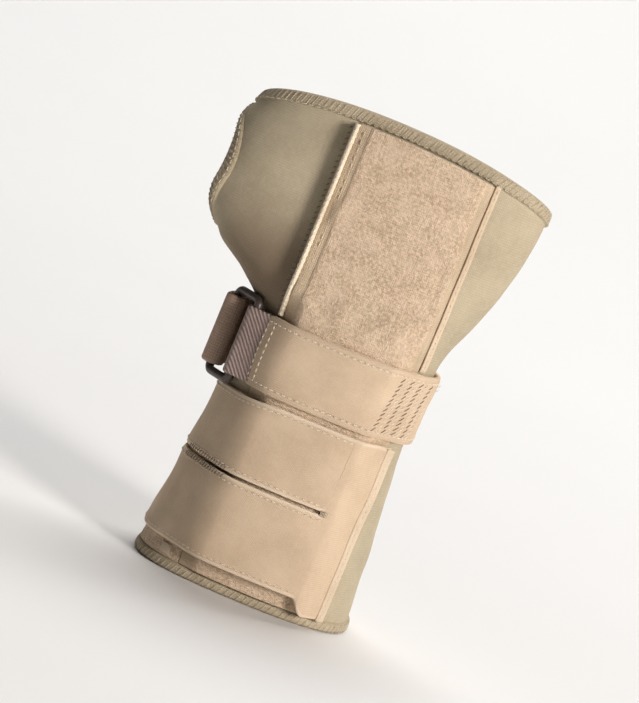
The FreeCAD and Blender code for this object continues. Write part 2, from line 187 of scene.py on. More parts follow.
# unit vectors on the cloth: round it, up it, and out of it
def directions(t, z, offset, surface=clothPoint, **kw):
    p = surface(t, z, offset, **kw)
    across = surface(np.asarray(t) + 1e-3, z, offset, **kw) - p
    up = surface(t, np.asarray(z) + 1e-2, offset, **kw) - p
    out = np.cross(across, up)
    return p, unit(across), unit(up), unit(out)


# a vector over its own length
def unit(v):
    return v / np.maximum(np.linalg.norm(v, axis=-1, keepdims=True), 1e-12)


# puts mesh, lamp or camera data into the scene
def addObject(name, data):
    obj = bpy.data.objects.new(name, data)
    bpy.context.scene.collection.objects.link(obj)
    return obj


# quads over a grid of rows and columns, either of which may close on itself
def gridQuads(rows, cols, closeRows=False, closeCols=False):
    r = np.arange(rows if closeRows else rows - 1)[:, None]
    c = np.arange(cols if closeCols else cols - 1)[None, :]
    r2, c2 = (r + 1) % rows, (c + 1) % cols
    quads = np.stack([r * cols + c, r * cols + c2, r2 * cols + c2, r2 * cols + c], -1)
    return quads.reshape(-1, 4)


# one mesh object from points in millimetres; doubles are merged and the faces turned outwards
def makePiece(name, points, quads, material, uv=None, marks=None, flatFaces=None, merge=1e-3):
    mesh = bpy.data.meshes.new(name)
    points = np.asarray(points, float).reshape(-1, 3)
    mesh.vertices.add(len(points))
    mesh.vertices.foreach_set("co", ((points + place) * 0.001).astype(np.float32).ravel())
    mesh.loops.add(quads.size)
    mesh.loops.foreach_set("vertex_index", quads.astype(np.int32).ravel())
    mesh.polygons.add(len(quads))
    mesh.polygons.foreach_set("loop_start", np.arange(0, quads.size, 4, dtype=np.int32))
    mesh.polygons.foreach_set("loop_total", np.full(len(quads), 4, np.int32))
    mesh.update(calc_edges=True)
    if uv is not None:
        layer = mesh.uv_layers.new(name="cloth")
        layer.data.foreach_set("uv", np.asarray(uv, np.float32).reshape(-1, 2)[quads.ravel()].ravel())
    for key, values in (marks or {}).items():
        mark = mesh.attributes.new(key, "FLOAT", "POINT")
        mark.data.foreach_set("value", np.asarray(values, np.float32).ravel())
    smooth = np.ones(len(quads), bool)
    if flatFaces is not None:
        smooth[flatFaces] = False
    mesh.polygons.foreach_set("use_smooth", smooth)
    bm = bmesh.new()
    bm.from_mesh(mesh)
    if merge:
        bmesh.ops.remove_doubles(bm, verts=bm.verts, dist=merge * 0.001)
    bmesh.ops.recalc_face_normals(bm, faces=bm.faces)
    bm.to_mesh(mesh)
    bm.free()
    mesh.materials.append(material)
    return addObject(name, mesh)


# positions from 0 to 1, closer together near both ends so that an edge can be rounded there
def spread(count, length, thick):
    rim = min(0.6 * thick / length, 0.3)
    near = np.array([0, 0.07, 0.25, 0.55]) * rim
    return np.concatenate([near, np.linspace(rim, 1 - rim, count), 1 - near[::-1]])


# rows as a column and columns as a row, so that they spread over one grid
def cells(rows, height, cols, width, thick):
    return spread(rows, height, thick)[:, None], spread(cols, width, thick)[None, :]


# distance along a row of points
def pathRun(points):
    return np.concatenate([[0], np.cumsum(np.linalg.norm(np.diff(points, axis=0), axis=1))])


# the same along one axis of a grid
def runLength(points, axis):
    step = np.linalg.norm(np.diff(points, axis=axis), axis=-1)
    start = np.zeros_like(np.take(step, [0], axis))
    return np.concatenate([start, np.cumsum(step, axis)], axis)


# the share of its thickness that a sheet keeps near its borders: each border marked r thins to nothing
# like a half circle, each border marked c is cut square; first row, last row, first and last column
def edgeShare(middle, borders, thick):
    down, along = runLength(middle, 0), runLength(middle, 1)
    gaps = (down, down[-1:] - down, along, along[:, -1:] - along)
    full = np.ones(middle.shape[:2])
    rim = np.full(middle.shape[:2], 9.0)
    for gap, kind in zip(gaps, borders):
        if kind == "r":
            full = full * np.sqrt(np.clip(1 - (1 - np.clip(gap / (0.6 * thick), 0, 1))**2, 0, 1))
            rim = np.minimum(rim, gap)
    return full, np.clip(rim / 3, 0, 1)


# two skins over one grid closed into a sheet; the pile is only on the outer skin
def closeSkins(name, skins, middle, rim, material, marks=None, borders="rrrr", closeCols=False, across=None):
    rows, cols = middle.shape[:2]
    count = rows * cols
    face = gridQuads(rows, cols, False, closeCols)
    index = np.arange(count).reshape(rows, cols)
    lines = (index[0], index[-1], index[:, 0], index[:, -1])
    sides = [np.stack([line[:-1], line[1:], line[1:] + count, line[:-1] + count], -1)
             for line, kind in zip(lines, borders) if kind == "c" and not closeCols]
    quads = np.concatenate([face, face[:, ::-1] + count] + sides)
    down, along = runLength(middle, 0), runLength(middle, 1)
    uv = np.stack([along if across is None else across, middle[..., 2]], -1).reshape(-1, 2)
    both = {"rim": np.concatenate([rim.ravel()] * 2)}
    for key, values in (marks or {}).items():
        values = np.broadcast_to(values, (rows, cols)).ravel()
        both[key] = np.concatenate([values, values * 0])
    piece = makePiece(name, skins, quads, material, np.concatenate([uv] * 2), both,
                      np.arange(2 * len(face), len(quads)))
    corner = middle[:-1, :-1]
    cell = np.linalg.norm(np.cross(middle[1:, :-1] - corner, middle[:-1, 1:] - corner), axis=-1)
    piece["flat"] = [float(along[:, -1].mean()) / 1000, float(down[-1].mean()) / 1000]
    piece["area"] = float(cell.sum()) / 1e6
    return piece


# a sheet between two offsets over a grid of angles and heights
def clothSheet(name, t, z, inner, outer, material, borders="rrrr", marks=None, closeCols=False,
               surface=clothPoint, **kw):
    inner, outer = np.asarray(inner, float) + 0 * z, np.asarray(outer, float) + 0 * z
    mid, thick = (inner + outer) / 2, outer - inner
    middle = surface(t, z, mid, **kw)
    full, rim = edgeShare(middle, borders, thick.max())
    skins = np.stack([surface(t, z, mid + thick / 2 * full, **kw), surface(t, z, mid - thick / 2 * full, **kw)])
    across = runAt(t) if closeCols else None
    return closeSkins(name, skins, middle, rim, material, marks, borders, closeCols, across)


# distance round the sleeve at hand height for an angle
def runAt(t):
    around = np.linspace(-twoPi, twoPi, 1441)
    p = clothPoint(around, 112.0, 0.0, 0)
    return np.interp(t, around, pathRun(p))


# a sheet of one thickness either side of a grid of points, its normal crossing the columns with the rows
def thickSheet(name, middle, thick, material, borders="rrrr", marks=None):
    out = unit(np.cross(np.gradient(middle, axis=1), np.gradient(middle, axis=0)))
    full, rim = edgeShare(middle, borders, thick)
    step = out * (thick / 2 * full)[..., None]
    return closeSkins(name, np.stack([middle + step, middle - step]), middle, rim, material, marks, borders)


# a round cord along a row of points, its sides set out round the path with the given outward vectors
def cordAlong(name, points, out, radius, material, sides=8):
    radius = np.broadcast_to(radius, len(points)).astype(float).copy()
    ahead = unit(np.gradient(points, axis=0))
    side = unit(np.cross(ahead, out))
    up = np.cross(side, ahead)
    points, side, up = (np.concatenate([v[:1], v, v[-1:]]) for v in (points, side, up))
    radius = np.concatenate([[0], radius, [0]])
    turn = np.linspace(0, twoPi, sides, endpoint=False)
    ring = side[:, None] * np.cos(turn)[None, :, None] + up[:, None] * np.sin(turn)[None, :, None]
    shape = points[:, None] + ring * radius[:, None, None]
    run = np.repeat(pathRun(points), sides)
    uv = np.stack([np.tile(turn / twoPi, len(points)), run], -1)
    return makePiece(name, shape, gridQuads(len(points), sides, False, True), material, uv)


# many short stitches in one mesh: each is a little bowed tube that dives into the cloth at both ends
def stitches(name, centre, along, out, length, radius, lift, material):
    s = np.linspace(-1, 1, 7)
    size = np.array([0, 0.8, 1, 1, 1, 0.8, 0])
    sink = (lift + radius) * (1 - s**4) - radius
    side = unit(np.cross(along, out))
    line = (centre[:, None] + along[:, None] * (s * length / 2)[None, :, None]
            + out[:, None] * sink[None, :, None])
    turn = np.linspace(0, twoPi, 5, endpoint=False)
    ring = (side[:, None, None] * np.cos(turn)[None, None, :, None]
            + out[:, None, None] * np.sin(turn)[None, None, :, None])
    shape = line[:, :, None] + ring * (size * radius)[None, :, None, None]
    quads = gridQuads(7, 5, False, True)
    quads = (quads[None] + (np.arange(len(centre)) * 35)[:, None, None]).reshape(-1, 4)
    run = np.broadcast_to(s[None, :, None] * length / 2, shape.shape[:3])
    around = np.broadcast_to(turn[None, None, :] / twoPi, shape.shape[:3])
    return makePiece(name, shape, quads, material, np.stack([around, run], -1), merge=2e-4)


# places at equal spacing along a line of angles and heights on the cloth
def evenly(t, z, offset, pitch, surface=clothPoint, **kw):
    p = surface(t, z, offset, **kw)
    run = pathRun(p)
    count = max(2, int(run[-1] / pitch))
    at = (np.arange(count) + 0.5) / count * run[-1]
    return np.interp(at, run, t), np.interp(at, run, z)


# a row of stitches along a line on the cloth, each turned by the slant from the line's direction
def seam(name, t, z, offset, material, pitch=2.2, length=1.8, slant=0.0, radius=0.22, lift=0.12, zigzag=False, **kw):
    t, z = evenly(t, z, offset, pitch, **kw)
    p, across, up, out = directions(t, z, offset, **kw)
    ahead = unit(np.gradient(p, axis=0))
    side = unit(np.cross(out, ahead))
    turn = np.full(len(t), math.radians(slant))
    if zigzag:
        turn[1::2] *= -1
    along = ahead * np.cos(turn)[:, None] + side * np.sin(turn)[:, None]
    return stitches(name, p, along, out, length, radius, lift, material)


# a material with one shader wired to its output
def newMaterial(name):
    material = bpy.data.materials.new(name)
    material.use_nodes = True
    nodes = material.node_tree.nodes
    nodes.clear()
    out = nodes.new("ShaderNodeOutputMaterial")
    shader = nodes.new("ShaderNodeBsdfPrincipled")
    material.node_tree.links.new(shader.outputs[0], out.inputs[0])
    return material, shader


# short ways to add shader nodes and wire them up
class Nodes:
    def __init__(self, material):
        self.tree = material.node_tree

    # a wire if the value is another node's socket, else a fixed value
    def feed(self, socket, value):
        if isinstance(value, bpy.types.NodeSocket):
            self.tree.links.new(value, socket)
        else:
            socket.default_value = value

    def add(self, kind, *inputs, **settings):
        node = self.tree.nodes.new("ShaderNode" + kind)
        for key, value in settings.items():
            setattr(node, key, value)
        for i, value in enumerate(inputs):
            self.feed(node.inputs[i], value)
        return node

    def math(self, operation, a, b=0.0):
        return self.add("Math", a, b, operation=operation).outputs[0]

    def mix(self, factor, a, b, blend="MIX"):
        node = self.add("Mix", data_type="RGBA", blend_type=blend)
        for i, value in ((0, factor), (6, a), (7, b)):
            self.feed(node.inputs[i], value)
        return node.outputs[2]

    def noise(self, place, scale, detail=2.0, roughness=0.5):
        node = self.add("TexNoise", place)
        node.inputs["Scale"].default_value = scale
        node.inputs["Detail"].default_value = detail
        node.inputs["Roughness"].default_value = roughness
        return node.outputs[0]

    def range(self, value, low, high, to0=0.0, to1=1.0):
        return self.add("MapRange", value, low, high, to0, to1, interpolation_type="SMOOTHSTEP").outputs[0]

    # colour and bump onto the shader
    def dress(self, shader, colour, height, strength, depth):
        bump = self.add("Bump")
        for socket, value in ((bump.inputs["Strength"], strength), (bump.inputs["Distance"], depth),
                              (bump.inputs["Height"], height), (shader.inputs["Normal"], bump.outputs[0]),
                              (shader.inputs["Base Color"], colour)):
            self.feed(socket, value)


# a colour with full opacity
def rgba(colour):
    return (*colour, 1.0)


# what a knit has unless its own look says otherwise
plainKnit = {"lean": 1.2, "fibreScale": 2600, "cloudScale": 55, "speckScale": 900, "speck": 0.35, "loopShade": 0.22,
             "rimShade": 0.3, "rimFade": 0.75, "fuzz": 0.7, "bump": 0.6, "bumpDepth": 0.00022, "rough": 0.82,
             "sheen": 0.25, "specular": 0.25}


# knitted cloth: a fine grid of loops from two sines of the piece's own UV, mottling from slow noise,
# fibres from fine noise, a lighter or darker rim along sewn edges that is partly their own tone and partly painted
# highlight, and a darker patch of painted shade where a look asks for one
def knitMaterial(name, ownLook):
    look = {**plainKnit, "rimToneAndHighlight": ownLook["light"], **ownLook}
    material, shader = newMaterial(name)
    n = Nodes(material)
    spot = n.add("TexCoord").outputs["Object"]
    split = n.add("SeparateXYZ", n.add("UVMap", uv_map="cloth").outputs[0])
    across, along = split.outputs[0], split.outputs[1]
    wale = n.math("SINE", n.math("MULTIPLY", across, twoPi / look["wale"]))
    if "twill" in look:  # diagonal ribs instead of loops
        lean = n.math("MULTIPLY", across, -twoPi / look["twill"])
    else:
        lean = n.math("MULTIPLY", n.math("ABSOLUTE", wale), look["lean"])
    course = n.math("SINE", n.math("ADD", n.math("MULTIPLY", along, twoPi / look["course"]), lean))
    ribs = 1.4 if "twill" in look else n.math("ADD", wale, 1.0)
    loops = n.math("MULTIPLY", n.math("ADD", course, 1.0), ribs)
    fibre = n.noise(spot, look["fibreScale"], 3, 0.65)
    cloud = n.noise(spot, look["cloudScale"], 4, 0.6)
    speck = n.noise(spot, look["speckScale"], 2, 0.7)
    colour = n.mix(n.range(cloud, 0.32, 0.68), rgba(look["dark"]), rgba(look["light"]))
    colour = n.mix(n.range(speck, 0.35, 0.75, 0, look["speck"]), colour, rgba(look["fleck"]))
    colour = n.mix(n.range(loops, 0.0, 2.6, look["loopShade"], 0.0), colour, rgba(look["deep"]))
    # the rim colour is partly the sewn edge's own tone and partly painted highlight along raised edges
    rim = n.add("Attribute", attribute_name="rim").outputs["Fac"]
    colour = n.mix(n.range(rim, 0.1, look["rimFade"], look["rimShade"], 0.0), colour, rgba(look["rimToneAndHighlight"]))
    if "paintedShade" in look:  # a darker patch of painted shade that fades out from a given place
        paintedShade = look["paintedShade"]
        centre = tuple((np.array(paintedShade["at"]) + place) * 0.001)
        far = n.add("VectorMath", spot, centre, operation="DISTANCE").outputs["Value"]
        colour = n.mix(n.range(far, 0.004, paintedShade["reach"] * 0.001, paintedShade["amount"], 0.0), colour, rgba(paintedShade["tone"]))
    height = n.math("ADD", n.math("MULTIPLY", loops, 0.25), n.math("MULTIPLY", fibre, look["fuzz"]))
    if "pile" in look:
        nap = look["pile"]
        pile = n.add("Attribute", attribute_name="pile").outputs["Fac"]
        tuft = n.noise(spot, nap["scale"], 3, 0.75)
        patch = n.noise(spot, nap["patchScale"], 3, 0.6)
        tone = n.mix(n.range(tuft, 0.36, 0.66), rgba(nap["dark"]), rgba(nap["light"]))
        tone = n.mix(n.range(patch, 0.35, 0.7, 0.0, 0.45), tone, rgba(nap["worn"]))
        colour = n.mix(pile, colour, tone)
        height = n.math("ADD", height, n.math("MULTIPLY", n.math("MULTIPLY", tuft, pile), 5.0))
    n.dress(shader, colour, height, look["bump"], look["bumpDepth"])
    rough = n.range(fibre, 0.3, 0.7, look["rough"] - 0.06, look["rough"] + 0.08)
    n.feed(shader.inputs["Roughness"], rough)
    shader.inputs["Sheen Weight"].default_value = look["sheen"]
    shader.inputs["Sheen Roughness"].default_value = 0.45
    shader.inputs["Sheen Tint"].default_value = rgba(look["light"])
    shader.inputs["Specular IOR Level"].default_value = look["specular"]
    return material


# spun thread: bands that twist along the stitch
def threadMaterial(name, dark, light, deep):
    material, shader = newMaterial(name)
    n = Nodes(material)
    spot = n.add("TexCoord").outputs["Object"]
    split = n.add("SeparateXYZ", n.add("UVMap", uv_map="cloth").outputs[0])
    turn = n.math("MULTIPLY", split.outputs[0], twoPi * 2)
    twist = n.math("SINE", n.math("ADD", turn, n.math("MULTIPLY", split.outputs[1], twoPi / 0.8)))
    colour = n.mix(n.range(n.noise(spot, 160, 3, 0.6), 0.3, 0.7), rgba(dark), rgba(light))
    colour = n.mix(n.range(twist, -1, 0.2, 0.5, 0.0), colour, rgba(deep))
    n.dress(shader, colour, twist, 0.6, 0.00012)
    shader.inputs["Roughness"].default_value = 0.55
    shader.inputs["Sheen Weight"].default_value = 0.2
    return material


# moulded plastic, rolled metal and dipped vinyl: fine grain, brushed lines and handling marks
def hardMaterial(name, colour, worn, grain, rough, metal=0.0, stretch=(1, 1, 1)):
    material, shader = newMaterial(name)
    n = Nodes(material)
    spot = n.add("TexCoord").outputs["Object"]
    mapping = n.add("Mapping", spot)
    mapping.inputs["Scale"].default_value = stretch
    fine = n.noise(mapping.outputs[0], grain, 4, 0.6)
    tone = n.mix(n.range(n.noise(spot, 70, 5, 0.7), 0.4, 0.72), rgba(colour), rgba(worn))
    n.dress(shader, tone, fine, 0.25, 0.00008)
    n.feed(shader.inputs["Roughness"], n.range(fine, 0.3, 0.7, rough - 0.07, rough + 0.1))
    shader.inputs["Metallic"].default_value = metal
    return material


looks = {
    "laminate": {"dark": (0.42, 0.35, 0.24), "light": (0.50, 0.425, 0.30), "fleck": (0.58, 0.51, 0.385),
                 "deep": (0.26, 0.205, 0.13), "wale": 0.62, "course": 0.8, "sheen": 0.3, "rimShade": 0.15,
                 # painted shade: a dark patch on the thumb panel above the ring, standing for the shadow there
                 "paintedShade": {"at": (-33, -21, 98), "reach": 33, "amount": 0.85, "tone": (0.15, 0.10, 0.062)}},
    "hem": {"dark": (0.40, 0.325, 0.215), "light": (0.50, 0.415, 0.285), "fleck": (0.60, 0.51, 0.375),
            "deep": (0.24, 0.18, 0.11), "wale": 0.9, "course": 0.9, "lean": 2.4, "fuzz": 1.2, "bump": 0.7,
            "rimShade": 0.0, "speck": 0.5},
    "smooth": {"dark": (0.59, 0.44, 0.305), "light": (0.69, 0.53, 0.375), "fleck": (0.76, 0.605, 0.445),
               "deep": (0.33, 0.24, 0.15), "wale": 0.5, "course": 0.66, "sheen": 0.3, "rimShade": 0.8, "rimFade": 0.5,
               # the strap's and tabs' pale rim: partly their binding, partly a painted highlight on the raised edge
               "rimToneAndHighlight": (0.82, 0.675, 0.51), "speck": 0.25},
    # painted shade: a darker strap cloth standing for the shade on the fold round the ring; the free end is cut from
    # it too
    "strapPaintedShade": {"dark": (0.36, 0.245, 0.18), "light": (0.45, 0.32, 0.24), "fleck": (0.52, 0.385, 0.30),
                  "deep": (0.15, 0.10, 0.07), "wale": 0.7, "course": 0.9, "lean": 0.6, "sheen": 0.3, "rimShade": 0.1},
    "plush": {"dark": (0.55, 0.42, 0.285), "light": (0.65, 0.505, 0.35), "fleck": (0.72, 0.58, 0.42),
              "deep": (0.33, 0.24, 0.15), "wale": 0.6, "course": 0.75, "sheen": 0.5, "rimShade": 0.2,
              "pile": {"scale": 1000, "patchScale": 170, "dark": (0.54, 0.39, 0.255),
                       "light": (0.82, 0.63, 0.455), "worn": (0.85, 0.67, 0.50)},
              "bumpDepth": 0.0003, "bump": 0.8},
    "lining": {"dark": (0.52, 0.42, 0.32), "light": (0.62, 0.52, 0.41), "fleck": (0.70, 0.60, 0.49),
               "deep": (0.35, 0.27, 0.2), "wale": 0.8, "course": 1.0, "sheen": 0.6, "rimShade": 0.0},
    "piping": {"dark": (0.76, 0.64, 0.475), "light": (0.86, 0.75, 0.59), "fleck": (0.9, 0.82, 0.68),
               "deep": (0.5, 0.38, 0.26), "wale": 0.5, "course": 0.6, "rimShade": 0.0},
    "tape": {"dark": (0.62, 0.49, 0.345), "light": (0.71, 0.575, 0.42), "fleck": (0.78, 0.65, 0.50),
             "deep": (0.46, 0.355, 0.245), "wale": 0.45, "course": 0.5, "rimShade": 0.0},
    "webbing": {"dark": (0.33, 0.24, 0.21), "light": (0.45, 0.34, 0.305), "fleck": (0.55, 0.44, 0.40),
                "deep": (0.12, 0.08, 0.07), "wale": 1.5, "course": 1.7, "twill": 1.6, "fuzz": 0.5,
                "bump": 1.0, "bumpDepth": 0.0005, "loopShade": 0.6, "rimShade": 0.0},
    "hook": {"dark": (0.30, 0.245, 0.19), "light": (0.38, 0.32, 0.25), "fleck": (0.46, 0.40, 0.33),
             "deep": (0.10, 0.08, 0.06), "wale": 1.1, "course": 1.3, "lean": 0.0, "bump": 1.0,
             "bumpDepth": 0.0006, "loopShade": 0.6, "sheen": 0.05, "rough": 0.5, "rimShade": 0.0},
}
cloth = {key: knitMaterial(key + "Cloth", look) for key, look in looks.items()}
paleThread = threadMaterial("paleThread", (0.72, 0.60, 0.44), (0.86, 0.76, 0.60), (0.45, 0.34, 0.22))
hemThread = threadMaterial("hemThread", (0.46, 0.385, 0.27), (0.62, 0.535, 0.40), (0.27, 0.205, 0.125))
sandThread = threadMaterial("sandThread", (0.60, 0.475, 0.335), (0.74, 0.605, 0.45), (0.36, 0.26, 0.165))
brownThread = threadMaterial("brownThread", (0.20, 0.135, 0.085), (0.33, 0.235, 0.16), (0.1, 0.065, 0.04))
hardLooks = {
    "strap_ring": hardMaterial("ringPlastic", (0.05, 0.036, 0.03), (0.10, 0.078, 0.066), 1500, 0.33),
    "back_stay": hardMaterial("stayPlastic", (0.72, 0.71, 0.66), (0.80, 0.79, 0.75), 900, 0.42, 0.0, (1, 1, 0.2)),
    "palm_stay": hardMaterial("stayMetal", (0.68, 0.69, 0.70), (0.58, 0.59, 0.60), 1800, 0.32, 1.0, (1, 1, 0.02)),
    "palm_stay_tips": hardMaterial("tipVinyl", (0.03, 0.03, 0.033), (0.06, 0.06, 0.062), 1200, 0.38),
}
print("materials made")


# puts a piece on the body it rides and hides the solids it stands for
def finishPiece(piece, body, slot, *nodes):
    if body:
        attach(piece, body)
    if nodes:
        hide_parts(*nodes)
    return piece


# a finished piece that is flat cloth: its flat size and area were kept when it was made
def finishSheet(piece, body, slot, node):
    finishPiece(piece, body, slot, node)
    return piece


# a seam that rides one body
def sewRow(body, name, *line, **kw):
    return finishPiece(seam(name, *line, **kw), body, "thread")


# works out two places along an axis and bakes the piece's placement into its mesh
def blendAcross(piece, a, b, axis, first, last):
    start, end = Vector((0, 0, 0)), Vector((0, 0, 0))
    start[axis] = (first + place[axis]) * 0.001
    end[axis] = (last + place[axis]) * 0.001
    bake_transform(piece)


# offsets of the layers; the thumb side's upper and lower pieces meet under the strap at "split"
panels = {"lining": (-3.0, -2.25), "padding": (-2.15, -0.02), "low": 0.9, "split": 84.0, "thick": 2.1}


# rows of heights from a low line to the knuckle edge or a given height, columns from one angle to another
def tallGrid(first, last, rows, cols, width, high=None):
    low = panels["low"]
    v, u = cells(rows, 140, cols, width, panels["thick"])
    z = low + (150.0 - low) * v + 0 * u
    for _ in range(4):
        t = first(z) + (last(z) - first(z)) * u
        top = topAt(t[-1], sleeve["knuckleGap"]) if high is None else np.full(t.shape[1], high)
        z = low + (top - low)[None, :] * v
    return first(z) + (last(z) - first(z)) * u, z


# the four lines where panels meet: angles of a pocket's edge at a height
def thumbBack(z):
    return angleAtX(sleeve["backPocket"][0], z, -1)


def thumbPalm(z):
    return angleAtX(sleeve["palmPocket"][0], z, 1)


def fingerBack(z):
    return angleAtX(sleeve["backPocket"][1], z, -1)


def fingerPalm(z):
    return angleAtX(sleeve["palmPocket"][1], z, 1)


# the edge of the thumb hole as y and z round an oval, grown by some millimetres
def holeRim(turn, grow=0.0):
    y = thumbHole["y"] + (thumbHole["halfWidth"] + grow) * np.cos(turn)
    z = thumbHole["z"] + (thumbHole["halfHeight"] + grow) * np.sin(turn)
    return y, z


# the panel round the thumb hole: straight lines in (angle, height) from the hole's edge out to the panel's border
def panelRoundHole(low, count=224, rows=34, grow=0.8):
    y, zRim = holeRim(np.linspace(0, twoPi, count, endpoint=False), grow)
    tRim = angleAtY(y, zRim)
    q = (tRim - thumbPalm(zRim)) / (thumbBack(zRim) - thumbPalm(zRim))
    w = (zRim - low) / (topAt(tRim, sleeve["knuckleGap"]) - low)
    centreQ, centreW = q.mean(), w.mean()
    dq, dw = q - centreQ, w - centreW
    scale = np.minimum(np.where(dq > 0, 1 - centreQ, centreQ) / np.maximum(np.abs(dq), 1e-9),
                       np.where(dw > 0, 1 - centreW, centreW) / np.maximum(np.abs(dw), 1e-9))
    edgeQ, edgeW = centreQ + dq * scale, centreW + dw * scale
    for cornerQ, cornerW in ((0.0, 0.0), (1.0, 0.0), (1.0, 1.0), (0.0, 1.0)):
        i = np.argmin((edgeQ - cornerQ)**2 + (edgeW - cornerW)**2)
        edgeQ[i], edgeW[i] = cornerQ, cornerW
    r = spread(rows, 25, panels["thick"])[:, None]
    gq, gw = q + (edgeQ - q) * r, w + (edgeW - w) * r
    z = low + (140 - low) * gw
    for _ in range(6):
        t = thumbPalm(z) + (thumbBack(z) - thumbPalm(z)) * gq
        z = low + (topAt(t, sleeve["knuckleGap"]) - low) * gw
    return t, z


# each panel as padding and as lining: a grid between two panel lines, at two pairs of offsets
def makeSleeve():
    thumbT, thumbZ = panelRoundHole(panels["split"])
    lowT, lowZ = tallGrid(thumbPalm, thumbBack, 60, 60, 70, panels["split"])
    parts = (("FingerSide", lambda z: fingerBack(z) - twoPi, fingerPalm, 70, "finger_side_panel"),
             ("Back", thumbBack, fingerBack, 47, "back_panel"),
             ("Palm", fingerPalm, thumbPalm, 48, "palm_panel"))
    for key, material, slot in (("padding", cloth["laminate"], "laminate"),
                                ("lining", cloth["lining"], "lining_knit")):
        inner, outer = panels[key]
        upper = clothSheet(key + "ThumbUpper", thumbT, thumbZ, inner, outer, material, "rrcc", None, True, draped=0)
        upper["flat"] = [0.1, 0.075]
        lower = clothSheet(key + "ThumbLower", lowT, lowZ, inner, outer, material, draped=0)
        for piece in (upper, lower):
            finishSheet(piece, "sleeve", slot, "thumb_side_panel" if key == "padding" else "inner_lining")
        for part, first, last, width, node in parts:
            t, z = tallGrid(first, last, 110, 44, width)
            piece = clothSheet(key + part, t, z, inner, outer, material, draped=0)
            finishSheet(piece, "sleeve", slot, node if key == "padding" else "inner_lining")
    print("sleeve panels made")


# widths of the hems, then pitch, length, slant, radius and lift of their rows of thread
hems = {"cuff": 3.6, "knuckle": 4.5, "knuckleOverlock": (1.9, 4.4, 64, 0.19, 0.06),
        "knuckleChain": (2.4, 2.0, 0, 0.24, 0.12), "cuffOverlock": (2.1, 3.6, 62, 0.22, 0.08),
        "thumbChain": (2.4, 2.0, 0, 0.24, 0.12), "thumbOverlock": (1.9, 3.6, 64, 0.22, 0.12)}


# offsets and drops round a hem folded over an edge: up the outside, over the top and down the inside
def hemProfile(width, count=9):
    bend = np.linspace(0, math.pi, count)
    low, high = sleeve["hemIn"], sleeve["hemOut"]
    over = np.stack([(low + high) / 2 + (high - low) / 2 * np.cos(bend), 1.1 * (1 - np.sin(bend))], -1)
    outside = np.array([[-0.2, width], [0.45, width - 0.15], [0.8, width - 0.8], [0.86, width * 0.6]])
    inside = np.array([[-3.66, width * 0.6], [-3.6, width - 0.8], [-3.25, width - 0.15], [-2.8, width],
                       [-1.5, width - 0.1]])
    return np.concatenate([outside, over, inside])


# a hem from its rows round the edge and columns round its fold
def hemPiece(name, points, drop, node):
    run = np.cumsum(np.linalg.norm(np.diff(points[:, 4], axis=0, prepend=points[-1:, 4]), axis=1))[:, None]
    uv = np.stack([run + 0 * drop, drop + 0 * run], -1)
    piece = makePiece(name, points, gridQuads(*points.shape[:2], True, True), cloth["hem"], uv,
                      {"rim": np.ones(points.shape[:2])})
    finishPiece(piece, "sleeve", "hem_knit", node)


# a hem round the sleeve at a height that changes with the angle; its outside is a little uneven
def hemRing(name, heightAt, width, flip, node):
    t = np.linspace(0, twoPi, 420, endpoint=False)[:, None]
    offset, drop = hemProfile(width).T[:, None, :]
    height = heightAt(t[:, 0])[:, None]
    puff = 1 + 0.05 * np.sin(t * 61) + 0.04 * np.sin(t * 37 + 1)
    z = height + drop if flip else height - drop
    points = clothPoint(t + 0 * drop, z, np.where(offset > -1.4, offset * puff, offset), draped=0)
    hemPiece(name, points, drop, node)


# the hems, and rows of thread that follow their edges at part of their width
def makeHems():
    hemRing("cuffHem", lambda t: np.zeros(len(t)), hems["cuff"], True, "cuff_hem")
    hemRing("knuckleHem", lambda t: topAt(t, 0.0), hems["knuckle"], False, "knuckle_hem")
    t = np.linspace(0, twoPi, 900)
    for name, z, offset in (("knuckleOverlock", topAt(t, hems["knuckle"] * 0.5), 0.82),
                            ("knuckleChain", topAt(t, hems["knuckle"] - 0.5), 0.8),
                            ("cuffOverlock", 0 * t + hems["cuff"] * 0.5, 0.82)):
        sewRow("sleeve", name, t, z, offset, hemThread, *hems[name], draped=0)
    thumbHem()
    print("hems made")


# the thumb hem goes round the hole: out along the cloth, over its edge and back inside
def thumbHem():
    profile = hemProfile(thumbHole["hem"])[None]
    y, z = holeRim(np.linspace(0, twoPi, 260, endpoint=False)[:, None], profile[..., 1])
    hemPiece("thumbHem", clothPoint(angleAtY(y, z), z, profile[..., 0], draped=0), profile[..., 1], "thumb_hem")
    for name, grow in (("thumbChain", 3.3), ("thumbOverlock", 1.9)):
        y, z = holeRim(np.linspace(0, twoPi, 600), grow)
        sewRow("sleeve", name, angleAtY(y, z), z, 0.84, hemThread, *hems[name], draped=0)


pockets = {"low": 3.8, "gapToHem": 4.8, "base": 0.6, "cloth": 1.3, "backPile": (-15.5, 25.0), "palmPile": (-21, 21),
           "rough": 0.05, "simRows": 64, "simCols": 22, "simFrames": 20, "simQuality": 8, "simMass": 0.12,
           "heldBelow": 91.0, "slack": 0.035, "pressure": 4.0, "cap": 1.6}
piping = {"in": 1.0, "shift": (-0.5, -0.75, 0), "out": (-0.2, -0.98, 0), "radius": 0.85, "uneven": 0.06, "step": 0.4}


